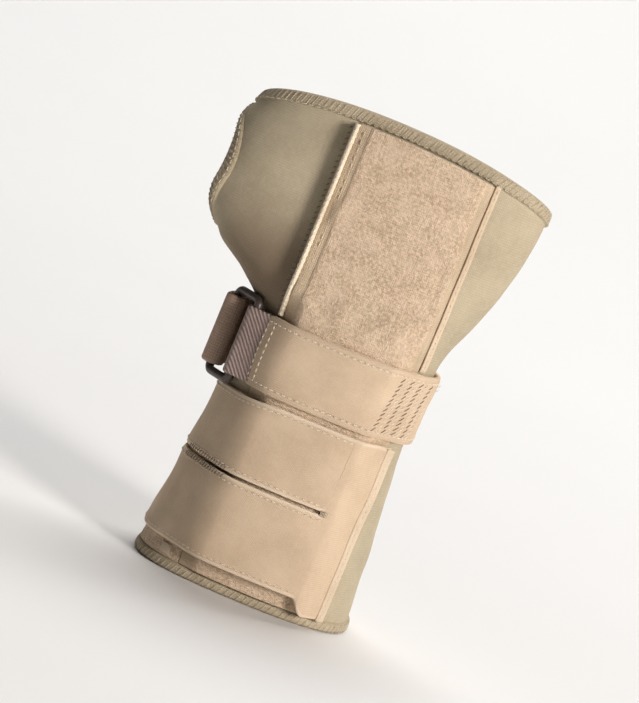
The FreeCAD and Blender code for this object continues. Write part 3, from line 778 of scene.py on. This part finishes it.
# the cloth of a cover: it puffs up close beside its sewn edges where it is bare, follows the plain drape where
# straps hold it down, and sinks towards its foot and a little at its mouth
def coverPoint(t, z, offset, side=-1):
    p = clothPoint(t, z, offset, draped=0)
    x = p[..., 0]
    window = sleeve["backPocket"] if side < 0 else sleeve["palmPocket"]
    edge = np.minimum(x - window[0], window[1] - x) / sleeve["shoulder"]
    puff = 0.72 * soften(edge / 0.14) + 0.28 * np.sin(np.clip(edge, 0, 1) * math.pi / 2)
    lift = liftAt(x, side)
    lift = lift + (sleeve["pocketRise"] * puff - lift) * soften((z - pockets["heldBelow"]) / 8)
    mouth = soften(1 - (topAt(t, pockets["gapToHem"]) - z) / 9)
    p[..., 1] += side * lift * (0.35 + 0.65 * soften((z - pockets["low"]) / 9)) * (1 - 0.1 * mouth)
    return p


# rows up the pocket from its foot to its mouth, columns across it at equal steps of x
def pocketGrid(side, v, u):
    low = pockets["low"]
    window = sleeve["backPocket"] if side < 0 else sleeve["palmPocket"]
    x = window[0] + (window[1] - window[0]) * u[None, :]
    z = low + 140 * v[:, None] + 0 * x
    for _ in range(5):
        t = angleAtX(x, z, side)
        z = low + (topAt(t[-1], pockets["gapToHem"]) - low)[None, :] * v[:, None]
    return t, z, x + 0 * z


# how far the cover swells off the stay: a coarse sheet of it, sewn down along both long edges and held under
# the strap, is cut a little too wide, blown outwards as cloth for some frames, and its outward moves are kept
def pocketFullness(name, side):
    v, u = np.linspace(0, 1, pockets["simRows"]), np.linspace(0, 1, pockets["simCols"])
    t, z, x = pocketGrid(side, v, u)
    p, across, up, out = directions(t, z, pockets["base"], coverPoint, side=side)
    mesh = bpy.data.meshes.new(name + "Coarse")
    mesh.from_pydata(((p + place) * 0.001).reshape(-1, 3).tolist(), [], gridQuads(len(v), len(u))[:, ::-1].tolist())
    coarse = addObject(name + "Coarse", mesh)
    held = (u[None, :] < 0.001) | (u[None, :] > 0.999) | (z < pockets["heldBelow"])
    sewn = coarse.vertex_groups.new(name="sewn")
    sewn.add(np.flatnonzero(held).tolist(), 1.0, "REPLACE")
    sim = coarse.modifiers.new("cloth", "CLOTH")
    for key, value in (("quality", pockets["simQuality"]), ("mass", pockets["simMass"]),
                       ("vertex_group_mass", "sewn"), ("shrink_min", -pockets["slack"]), ("use_pressure", True),
                       ("uniform_pressure_force", pockets["pressure"])):
        setattr(sim.settings, key, value)
    sim.settings.effector_weights.gravity = 0
    sim.point_cache.frame_start, sim.point_cache.frame_end = 1, pockets["simFrames"]
    for step in range(1, pockets["simFrames"] + 1):
        bpy.context.scene.frame_set(step)
    posed = coarse.evaluated_get(bpy.context.evaluated_depsgraph_get()).to_mesh()
    moved = np.empty(len(posed.vertices) * 3, np.float32)
    posed.vertices.foreach_get("co", moved)
    moved = moved.reshape(p.shape) * 1000 - place - p
    bpy.data.objects.remove(coarse)
    bpy.context.scene.frame_set(1)
    swell = (moved * out).sum(-1)
    print(name, "swells by", round(float(swell.max()), 2), "mm")
    return v, u, np.clip(swell, -0.3, pockets["cap"])


# values on a coarse even grid read at finer places, along the columns first and then along the rows
def refine(v, u, values, fineV, fineU):
    wide = np.stack([np.interp(fineU, u, row) for row in values])
    return np.stack([np.interp(fineV, v, column) for column in wide.T], 1)


# a cover that is sewn flat along its long edges and at the cuff, and stands off over the stay; it swells by
# its own fullness, waves a little like quilting, and is rough where the pile is
def pocketCover(name, side, pileWindow, node):
    v, u = spread(220, 150, pockets["cloth"]), spread(120, 47, pockets["cloth"])
    t, z, x = pocketGrid(side, v, u)
    swell = refine(*pocketFullness(name, side), v, u) * soften((z - pockets["heldBelow"]) / 6)
    quilt = (0.2 * np.sin(z * 0.33 + x * 0.12) + 0.14 * np.sin(z * 0.71 - x * 0.2)) * soften(liftAt(x, side) / 3)
    pile = soften((x - pileWindow[0]) / 1.2) * soften((pileWindow[1] - x) / 1.2)
    rough = np.random.default_rng(7).normal(0, pockets["rough"], z.shape) * pile
    outer = pockets["base"] + quilt + rough + swell
    inner = pockets["base"] + quilt + swell - pockets["cloth"] + 0.55 * soften(1 - (z[-1:] - z) / 9)
    piece = clothSheet(name, t, z, inner, outer, cloth["plush"], marks={"pile": pile}, surface=coverPoint, side=side)
    finishPiece(piece, "sleeve", "plush_loop", node)


# a row of stitches up the back at one x
def sewUp(name, x, low, high, offset, *look, **kw):
    z = np.linspace(low, high, 300)
    return sewRow("sleeve", name, angleAtX(x, z, -1), z, offset, *look, **kw)


# both covers; on the back also the piping and its whipping on one edge, and the tape on the other
def makePockets():
    pocketCover("backPocket", -1, pockets["backPile"], "back_pocket")
    pocketCover("palmPocket", 1, pockets["palmPile"], "palm_pocket")
    low, base = strap["z"][1] + 0.6, pockets["base"]
    x, farX = sleeve["backPocket"]
    z = np.linspace(low, topAt(angleAtX(x, 150.0, -1), 4.9), 360)
    t, z = evenly(angleAtX(x + piping["in"], z, -1), z, base, piping["step"], coverPoint)
    p, across, up, out = directions(t, z, base, coverPoint)
    out = np.zeros_like(p) + piping["out"]
    p = p + piping["shift"]
    radius = piping["radius"] + piping["uneven"] * np.sin(z * 3.3)
    finishPiece(cordAlong("pocketPiping", p, out, radius, cloth["piping"], 10), "sleeve", "edge_tape", "pocket_piping")
    some = slice(2, -2, 5)
    wrap = stitches("pipingWhip", (p + out * 0.83)[some], unit(up * 0.8 + unit(across) * 0.6)[some], out[some],
                    2.1, 0.3, 0.12, paleThread)
    finishPiece(wrap, "sleeve", "thread")
    top = z[-1] - 1
    sewUp("pipingUnderstitch", x - 1.7, 91, top, 0.0, brownThread, 1.9, 1.5, -48, 0.24, 0.1)
    sewUp("pocketTopstitch", x + 3.4, 96, top, base, sandThread, 2.6, 2.0, 0, 0.2, 0.08, surface=coverPoint)
    v, u = cells(120, 66, 6, 1.7, 0.75)
    z = low + (z[-1] - 1.5 - low) * v + 0 * u
    t = angleAtX(farX + 0.1 + 1.7 * u, z, -1)
    tape = clothSheet("pocketEdgeTape", t, z, base - 0.45, base + 0.3, cloth["tape"])
    finishPiece(tape, "sleeve", "edge_tape", "pocket_edge_tape")
    sewUp("tapeStitch", farX + 0.95, low + 1, z[-1, 0] - 1, base + 0.28, sandThread, 2.1, 1.6, 0, 0.17, 0.06)
    print("pockets made")


strap = {"z": (65.5, 88.9), "thick": 1.8, "startX": -22.0, "base": 0.6, "endX": 6.0, "hook": 0.8, "joinY": 12.0,
         "bar": (-35.6, -10.0), "inBar": (-27.6, -20.6), "wire": 1.4, "gap": 0.3, "legY": -8.0,
         "startRound": 2.5, "endRound": 3.0, "hookX": (4.0, -16.0), "hookIn": 2.0,
         # pitch, length, slant, radius and lift of the rows of thread
         "edgeRow": (2.2, 1.8, 0, 0.26, 0.14), "joinRow": (1.6, 2.0, 42, 0.24, 0.12, True),
         "startRow": (2.1, 1.7, 0, 0.26, 0.14)}


# the stand-off that brings one layer of the strap to x beside the ring's outer bar
def reachTo(x, offset):
    cx, cy, a, b = sectionAt(sum(strap["z"]) / 2, offset)
    v = abs(strap["legY"] - cy) / b
    n = sleeve["roundness"]
    return float(cx - a * (1 - v**n)**(1 / n) - x)


# where the strap runs: the draped sleeve, standing off on the thumb side to reach the ring; from y = 10
# towards the ring it turns upright, taking the shape of the sleeve at its own middle height
def strapPoint(t, z, offset, reach=0.0):
    t, z, offset = np.broadcast_arrays(np.asarray(t, float), np.asarray(z, float), np.asarray(offset, float))
    reach = np.where(t > 0, reach, 0)
    p = clothPoint(t, z, offset, 1.0, reach, 1)
    q = clothPoint(t, np.full(z.shape, sum(strap["z"]) / 2), offset, 1.0, reach, 1)
    share = np.where(t > math.pi / 2, soften((10.0 - p[..., 1]) / 16), 0)[..., None]
    q = q * np.array([1, 1, 0]) + p * np.array([0, 0, 1])
    return p + (q - p) * share


# how far a rounded corner draws back an end, at each height of it
def cornerInset(z, low, high, radius):
    near = np.clip(np.minimum(z - low, high - z) / radius, 0, 1)
    return radius * (1 - np.sqrt(1 - (1 - near)**2))


# rows up the strap's width, columns from one line to another
def strapGrid(first, last, cols, length):
    low, high = strap["z"]
    v, u = cells(26, high - low, cols, length, strap["thick"])
    z = low + (high - low) * v + 0 * u
    return first(z) + (last(z) - first(z)) * u, z


# a plan drawn in x and y, carried straight up through the heights
def upright(plan, z):
    return np.concatenate([np.broadcast_to(plan[None], (len(z), len(plan), 2)),
                           np.broadcast_to(z[:, :, None], (len(z), len(plan), 1))], -1)


# the strap's start on the back and its tip on the palm, both with rounded corners
def strapStart(z):
    return angleAtX(strap["startX"] + cornerInset(z, *strap["z"], strap["startRound"]), z, -1) - twoPi


def strapTip(z):
    return angleAtX(strap["endX"] - cornerInset(z, *strap["z"], strap["endRound"]), z, 1)


# the strap round the sleeve, its bend round the ring, and its free end with hook tape, each offset
# from the sleeve by the layers under it
def makeStrap():
    low, high = strap["z"]
    thick, base, legY, joinY = strap["thick"], strap["base"], strap["legY"], strap["joinY"]
    clear = strap["wire"] + strap["gap"]
    reach = reachTo(strap["bar"][0] + clear, base + thick)
    endBase = base + thick + strap["gap"] + strap["hook"]
    onSleeve = {"surface": strapPoint, "reach": reach}
    onEnd = {"surface": strapPoint, "reach": reachTo(strap["bar"][0] - clear, endBase)}

    t, z = strapGrid(strapStart, lambda z: angleAtY(joinY, z), 230, 160)
    piece = clothSheet("wristStrap", t, z, base, base + thick, cloth["smooth"], "rrrc", **onSleeve)
    finishSheet(piece, "sleeve", "smooth_knit", "wrist_strap")

    # the stretch beside the ring, round its outer bar and back beside itself
    zs = low + (high - low) * spread(26, high - low, thick)[:, None]
    t = angleAtY(joinY, zs) + (angleAtY(legY, zs) - angleAtY(joinY, zs)) * np.linspace(0, 1, 26)[None]
    leadIn = strapPoint(t, zs + 0 * t, base + thick / 2, reach)
    bend = np.linspace(0, -math.pi, 25)
    radius = clear + thick / 2
    bx, by = strap["bar"]
    plan = np.concatenate([[[bx + radius, by + 1.0]],
                           np.stack([bx + radius * np.cos(bend), by + radius * np.sin(bend)], -1),
                           [[bx - radius, by + 1.0], [bx - radius, by + 2.0]]])
    path = np.concatenate([leadIn, upright(plan, zs)], 1)
    # the bend round the ring and the free end use the darker cloth, painted shade for the fold
    turned = thickSheet("strapTurn", path, thick, cloth["strapPaintedShade"], "rrcc")
    finishSheet(turned, None, "smooth_knit", "strap_fold")
    blendAcross(turned, "sleeve", "ring", 1, 10.0, -6.0)

    t, z = strapGrid(strapTip, lambda z: angleAtY(legY, z), 110, 75)
    end = clothSheet("strapEnd", t, z, endBase, endBase + thick, cloth["strapPaintedShade"], "rrrc", **onEnd)
    finishSheet(end, None, "smooth_knit", "strap_end")
    blendAcross(end, "ring", "strap_end", 1, legY + 0.2, -1.0)
    first, last = strap["hookX"]
    t, z = strapGrid(lambda z: angleAtX(first, z, 1), lambda z: angleAtX(last, z, 1), 40, 22)
    z = low + strap["hookIn"] + (z - low) * (high - low - 2 * strap["hookIn"]) / (high - low)
    hook = clothSheet("strapHook", t, z, endBase - strap["hook"], endBase - 0.02, cloth["hook"], **onEnd)
    finishSheet(hook, "strap_end", "hook_tape", "strap_hook")

    top = base + thick
    for i, at in enumerate((low + 2.0, high - 2.0)):
        level = np.full(700, at)
        run = np.linspace(strapStart(at) + 0.05, angleAtY(16.5, at), 700)
        sewRow("sleeve", "strapStitch" + str(i), run, level, top, paleThread, *strap["edgeRow"], **onSleeve)
        run = np.linspace(strapTip(at) + 0.05, angleAtY(1.5, at), 700)
        sewRow("strap_end", "strapEndStitch" + str(i), run, level, endBase + thick, paleThread,
               *strap["edgeRow"], **onEnd)
    level = np.linspace(low + 2.2, high - 2.2, 120)
    for name, y in (("strapJoin", 14.8), ("strapJoinOuter", 13.2)):
        sewRow("sleeve", name, angleAtY(y, level), level, top, paleThread, *strap["joinRow"], **onSleeve)
    for name, inset in (("strapStart", 1.6), ("strapStartInner", 3.6)):
        sewRow("sleeve", name, angleAtX(strap["startX"] + inset, level, -1) - twoPi, level, top, paleThread,
               *strap["startRow"], surface=strapPoint)
    print("wrist strap made")


tack = {"rows": 8, "x": 19.5, "step": 1.4, "lean": 0.16, "in": (2.0, 2.5), "row": (1.7, 3.0, -38, 0.2, 0.1)}


# box of zigzag rows that ties the strap down: each row runs aslant over the strap's breadth
def makeTack():
    level = np.linspace(strap["z"][0] + tack["in"][0], strap["z"][1] - tack["in"][1], 90)
    for i in range(tack["rows"]):
        x = tack["x"] + tack["step"] * i + (level - level[0]) * tack["lean"]
        row = seam("strapTack" + str(i), angleAtX(x, level, -1) - twoPi, level, strap["base"] + strap["thick"],
                   paleThread if i % 2 else brownThread, *tack["row"], surface=strapPoint)
        finishPiece(row, "sleeve", "thread", "strap_tack")
    print("strap tack made")


webbing = {"thick": 1.2, "in": 0.3, "level": 77.0, "tail": (2.0, 0.9), "inTail": (1.5, 0.3), "half": 0.65}


# the doubled webbing: a teardrop in plan, from under the strap's start round the ring's inner bar and back
def makeWebbing():
    low, high = strap["z"][0] + webbing["in"], strap["z"][1] - webbing["in"]
    bar, level = np.array(strap["inBar"]), webbing["level"]
    (x, offset), (inX, inOffset) = webbing["tail"], webbing["inTail"]
    tail = clothPoint(angleAtX(strap["startX"] + x, level, -1), level, offset, span=1)[:2]
    inTail = clothPoint(angleAtX(strap["startX"] + inX, level, -1), level, inOffset)[:2]
    radius = strap["wire"] + strap["gap"] + webbing["half"]
    ahead = unit(bar - tail)
    side = np.array([ahead[1], -ahead[0]])
    if side @ np.array([-1, -1]) < 0:
        side = -side
    turn = np.linspace(0, math.pi, 28)[:, None]
    loop = bar + radius * (side * np.cos(turn) + ahead * np.sin(turn))
    s = np.linspace(0, 1, 14)[:-1, None]
    plan = np.concatenate([tail + (loop[0] - tail) * s, loop, inTail + (loop[-1] - inTail) * s[::-1]])
    z = (low + (high - low) * spread(24, high - low, webbing["thick"]))[:, None]
    piece = thickSheet("ringWebbing", upright(plan, z), webbing["thick"], cloth["webbing"], "rrcc")
    finishSheet(piece, "sleeve", "webbing", "ring_webbing")
    print("ring webbing made")


closure = {"top": 62.0, "bottom": 9.2, "foot": 3.8, "footX": (16.4, 21.6), "slit": (37.2, 38.2), "sewnX": 16.0,
           "rightX": 27.0, "sewnBase": 0.62, "inner": 1.7, "outer": 3.2, "endX": 8.0, "endRound": 4.0,
           "hookX": (-15.0, 6.0), "tape": 1.8, "closer": 0.85, "rise": 1.6, "swingX": (-15.0, -24.0),
           "peelX": (-18.2, -14.6), "edgeRow": (2.2, 1.7, 0, 0.23), "slitRow": (1.5, 1.9, 68, 0.2)}


# rows from a lower line to a height, columns from one x on the back to another
def closureGrid(firstX, lastX, lowAt, high, rows, cols, width):
    v, u = cells(rows, 28, cols, width, 1.6)
    x = firstX + (lastX - firstX) * u
    low = lowAt(x)
    z = low + (high - low) * v
    return angleAtX(x, z, -1), z, x + 0 * z


# the sewn part of the closure, tape along its edge, a bar tack at the slit's end, and both tabs
def makeClosure():
    c = closure
    outer, inner, base, foot = c["outer"], c["inner"], c["sewnBase"], c["foot"]
    top, rightX, middle = c["top"] + c["rise"], c["rightX"], sum(c["slit"]) / 2

    # its lower edge steps down to the cuff beside the tape
    def lowAt(x):
        return c["bottom"] - (c["bottom"] - foot) * soften((x - c["footX"][0]) / (c["footX"][1] - c["footX"][0]))

    t, z, x = closureGrid(c["sewnX"], rightX, lowAt, top, 110, 40, 11)
    piece = clothSheet("closurePanel", t, z, base + (inner - base) * soften((18 - x) / 2), outer, cloth["smooth"],
                       "rrcr", span=1)
    finishSheet(piece, "sleeve", "smooth_knit", "closure_panel")
    t, z, x = closureGrid(rightX - c["tape"], rightX + 0.3, lambda x: foot + 0 * x, top - 0.3, 110, 6, 2.1)
    tape = clothSheet("closureTape", t, z, outer - 0.3, outer + 0.3, cloth["tape"], span=1)
    finishPiece(tape, "sleeve", "edge_tape", "closure_tape")
    level = np.linspace(foot + 0.6, c["top"] - 0.6, 200)
    sewRow("sleeve", "closureTapeStitch", angleAtX(rightX - 0.7, level, -1), level, outer + 0.27, paleThread,
           2.0, 1.6, 0, 0.14, 0.06, span=1)
    x = np.linspace(c["sewnX"] - 1.2, c["sewnX"] + 0.9, 6)
    p, across, up, out = directions(angleAtX(x, middle, -1), np.full(6, middle), outer, span=1)
    finishPiece(stitches("slitBarTack", p, up, out, 2.5, 0.18, 0.04, sandThread), "sleeve", "thread")
    makeTab("lower", c["bottom"], c["slit"][0])
    makeTab("upper", c["slit"][1], c["top"])
    print("closure made")


# on the back the closure reaches up nearly to the strap; beside the ring it stays lower
def topRise(t, z):
    x = clothPoint(t, z, closure["outer"])[..., 0]
    return closure["rise"] * soften((x + 24) / 18)


# a tab lies closer on the thumb side, where there is no hook tape under it
def tabOffset(t, z, level):
    x = clothPoint(t, z, level)[..., 0]
    return level - closure["closer"] * soften((-19.0 - x) / 9)


# a tab's cloth between its two offsets
def tabSheet(name, t, z, borders):
    inner, outer = (tabOffset(t, z, closure[key]) for key in ("inner", "outer"))
    return clothSheet(name, t, z, inner, outer, cloth["smooth"], borders, span=1)


# a row of stitches along a tab
def tabSeam(name, t, z, material, row, a, b, window):
    pitch, length, slant, radius = row
    t, z = evenly(t, z + 0 * t, closure["outer"], pitch, span=1)
    p, across, up, out = directions(t, z, tabOffset(t, z, closure["outer"]), span=1)
    turn = math.radians(slant)
    line = stitches(name, p, across * math.cos(turn) + up * math.sin(turn), out, length, radius, 0.1, material)
    finishPiece(line, None, "thread")
    blendAcross(line, a, b, 0, *closure[window])


# one tab: a front cloth from the sewn panel round to the thumb side, a rear cloth from there to its tip on
# the palm, hook tape under the tip, and stitching along its edges
def makeTab(key, low, high):
    c = closure
    wrap, end = key + "_tab_wrap", key + "_tab_end"
    v, u = cells(30, high - low, 84, 60, 1.5)
    z = low + (high - low) * v
    t = math.pi + (angleAtX(c["sewnX"], z, -1) - math.pi) * u
    z = z + 0 * t
    if key == "upper":
        z = z + topRise(t, z) * v
    front = tabSheet(key + "TabFront", t, z, "rrcc")
    finishSheet(front, None, "smooth_knit", wrap)
    blendAcross(front, "sleeve", wrap, 0, *c["swingX"])
    tip = angleAtX(c["endX"] - cornerInset(z, low, high, c["endRound"]), z, 1)
    rear = tabSheet(key + "TabRear", tip + (math.pi - tip) * u, z, "rrrc")
    finishSheet(rear, None, "smooth_knit", end)
    blendAcross(rear, wrap, end, 0, *c["peelX"])
    v, u = cells(20, high - low, 24, 21, 0.8)
    x = c["hookX"][0] + (c["hookX"][1] - c["hookX"][0]) * u[:, ::-1]
    zh = low + 2 + (high - low - 4) * v + 0 * x
    hook = clothSheet(key + "TabHook", angleAtX(x, zh, 1), zh, c["inner"] - 0.8, c["inner"] - 0.02, cloth["hook"],
                      span=1)
    finishSheet(hook, end, "hook_tape", key + "_tab_hook")
    for i, at in enumerate((low + 1.7, high - 1.7)):
        run = np.linspace(angleAtX(c["sewnX"], at, -1), math.pi + 0.02, 400)
        level = at + (topRise(run, np.full(400, at)) if at > 50 else 0)
        tabSeam(key + "TabStitch" + str(i), run, level, paleThread, c["edgeRow"], "sleeve", wrap, "swingX")
        run = np.linspace(math.pi - 0.02, float(angleAtX(c["endX"] - 4.0, at, 1)), 400)
        tabSeam(key + "TabRearStitch" + str(i), run, at, paleThread, c["edgeRow"], wrap, end, "peelX")
    slitEdge = high - 0.9 if key == "lower" else low + 0.9
    run = np.linspace(angleAtX(-15.0, slitEdge, -1), math.pi + 0.45, 200)
    tabSeam(key + "SlitOvercast", run, slitEdge, brownThread, c["slitRow"], "sleeve", wrap, "swingX")


forearm = {"inner": -0.3, "outer": 0.6, "rough": 0.04}
cuffMark = {"x": -26.8, "z": 4.6, "width": 3.4, "height": 3.6, "inner": 0.3, "outer": 1.2}


# pile cloth on the thumb side for the tabs to press on, and the small sewn mark at the cuff
def makeForearm():
    low, high, thin = closure["foot"], closure["top"], 0.6
    v, u = cells(60, high - low, 90, 80, thin)
    z = low + (high - low) * v
    t = thumbPalm(z) + (thumbBack(z) - thumbPalm(z)) * u
    rough = np.random.default_rng(11).normal(0, forearm["rough"], t.shape)
    piece = clothSheet("forearmLoopPanel", t, z + 0 * t, forearm["inner"], forearm["outer"] + rough, cloth["plush"],
                       marks={"pile": 1 + 0 * t}, draped=0)
    finishSheet(piece, "sleeve", "plush_loop", "forearm_loop_panel")
    width, height = cuffMark["width"], cuffMark["height"]
    v, u = cells(6, height, 8, width, thin)
    x = cuffMark["x"] + width * u
    z = cuffMark["z"] + height * v + 0 * x
    mark = clothSheet("cuffTab", angleAtX(x, z, -1), z, cuffMark["inner"], cuffMark["outer"], cloth["tape"], draped=0)
    finishPiece(mark, "sleeve", "edge_tape", "cuff_tab")
    print("forearm panel made")


# plastic, metal and vinyl on the frame's own solids
def makeHard():
    for node, material in hardLooks.items():
        slots = bpy.data.objects[node].data.materials
        slots.clear()
        slots.append(material)


stage = {"front": -4.0, "flatTo": 0.6, "bend": 2.4, "top": 5.5, "half": 5.0, "paper": (0.80, 0.79, 0.775)}


# floor and backdrop in one sweep: flat, then a quarter circle, then upright
def makeStage():
    bend = np.linspace(0, math.pi / 2, 24)
    radius, count = stage["bend"], 12
    curve = np.stack([stage["flatTo"] + radius * np.sin(bend), radius - radius * np.cos(bend)], -1)
    plan = np.concatenate([[[stage["front"], 0.0], [-1.5, 0.0]], curve, [[stage["flatTo"] + radius, stage["top"]]]])
    x = np.linspace(-stage["half"], stage["half"], count)
    points = np.stack([x[None] + 0 * plan[:, :1], plan[:, :1] + 0 * x[None], plan[:, 1:] + 0 * x[None]], -1)
    mesh = bpy.data.meshes.new("floorSweep")
    mesh.from_pydata(points.reshape(-1, 3).tolist(), [], gridQuads(len(plan), count).tolist())
    mesh.polygons.foreach_set("use_smooth", np.ones(len(mesh.polygons), bool))
    material, shader = newMaterial("floorPaper")
    n = Nodes(material)
    cloud = n.noise(n.add("TexCoord").outputs["Object"], 3.0, 2, 0.5)
    tone = stage["paper"]
    n.feed(shader.inputs["Base Color"], n.mix(n.range(cloud, 0.3, 0.7), rgba(tone), rgba([v * 1.02 for v in tone])))
    shader.inputs["Roughness"].default_value = 0.9
    mesh.materials.append(material)
    addObject("floorSweep", mesh)


splintMiddle = (0, 0, 0.08)
# place, aim, size, power and colour of each lamp
lights = {
    "key": ((1.04, -1.1, 0.5), splintMiddle, 0.5, 25, (1.0, 0.955, 0.92)),
    "fill": ((-1.3, -1.0, 0.3), splintMiddle, 1.0, 0.05, (0.97, 0.96, 1.0)),
    "rim": ((0.9, 0.8, 0.8), splintMiddle, 0.5, 3, (1.0, 0.97, 0.94)),
    "floorWash": ((0.0, 1.3, 2.6), (0, 1.6, 0.2), 2.4, 66, (1.0, 1.0, 1.0)),
}
ambient = {"Color": (0.95, 0.96, 1.0, 1), "Strength": 0.05}


# round area lamps turned to their aims, and a faint even light from all round
def makeLights():
    for name, (spot, aim, size, power, colour) in lights.items():
        lamp = bpy.data.lights.new(name, "AREA")
        lamp.shape, lamp.size, lamp.energy, lamp.color = "DISK", size, power, colour
        obj = addObject(name, lamp)
        obj.location = spot
        obj.rotation_euler = (Vector(aim) - Vector(spot)).to_track_quat("-Z", "Y").to_euler()
    world = bpy.data.worlds.new("studio")
    world.use_nodes = True
    for key, value in ambient.items():
        world.node_tree.nodes["Background"].inputs[key].default_value = value
    bpy.context.scene.world = world


view = {"aim": (0.0, 0.0, 0.081), "azimuth": 2.0, "elevation": 6.0, "distance": 1.0, "lens": 158.0, "roll": -22.5}


# the camera stands off its aim at an azimuth and elevation, rolled about its own axis
def makeCamera():
    camera = bpy.data.cameras.new("camera")
    camera.lens = view["lens"]
    camera.clip_start, camera.clip_end = 0.05, 50
    obj = addObject("camera", camera)
    a, e = math.radians(view["azimuth"]), math.radians(view["elevation"])
    back = Vector((math.sin(a) * math.cos(e), -math.cos(a) * math.cos(e), math.sin(e)))
    turn = (-back).to_track_quat("-Z", "Y").to_matrix().to_4x4()
    roll = Matrix.Rotation(math.radians(-view["roll"]), 4, "Z")
    obj.matrix_world = Matrix.Translation(Vector(view["aim"]) + back * view["distance"]) @ turn @ roll
    bpy.context.scene.camera = obj


for make in (makeSleeve, makeHems, makePockets, makeStrap, makeTack, makeWebbing, makeForearm, makeClosure, makeHard,
             makeStage, makeLights, makeCamera):
    make()
bpy.context.scene.view_settings.view_transform = "Standard"
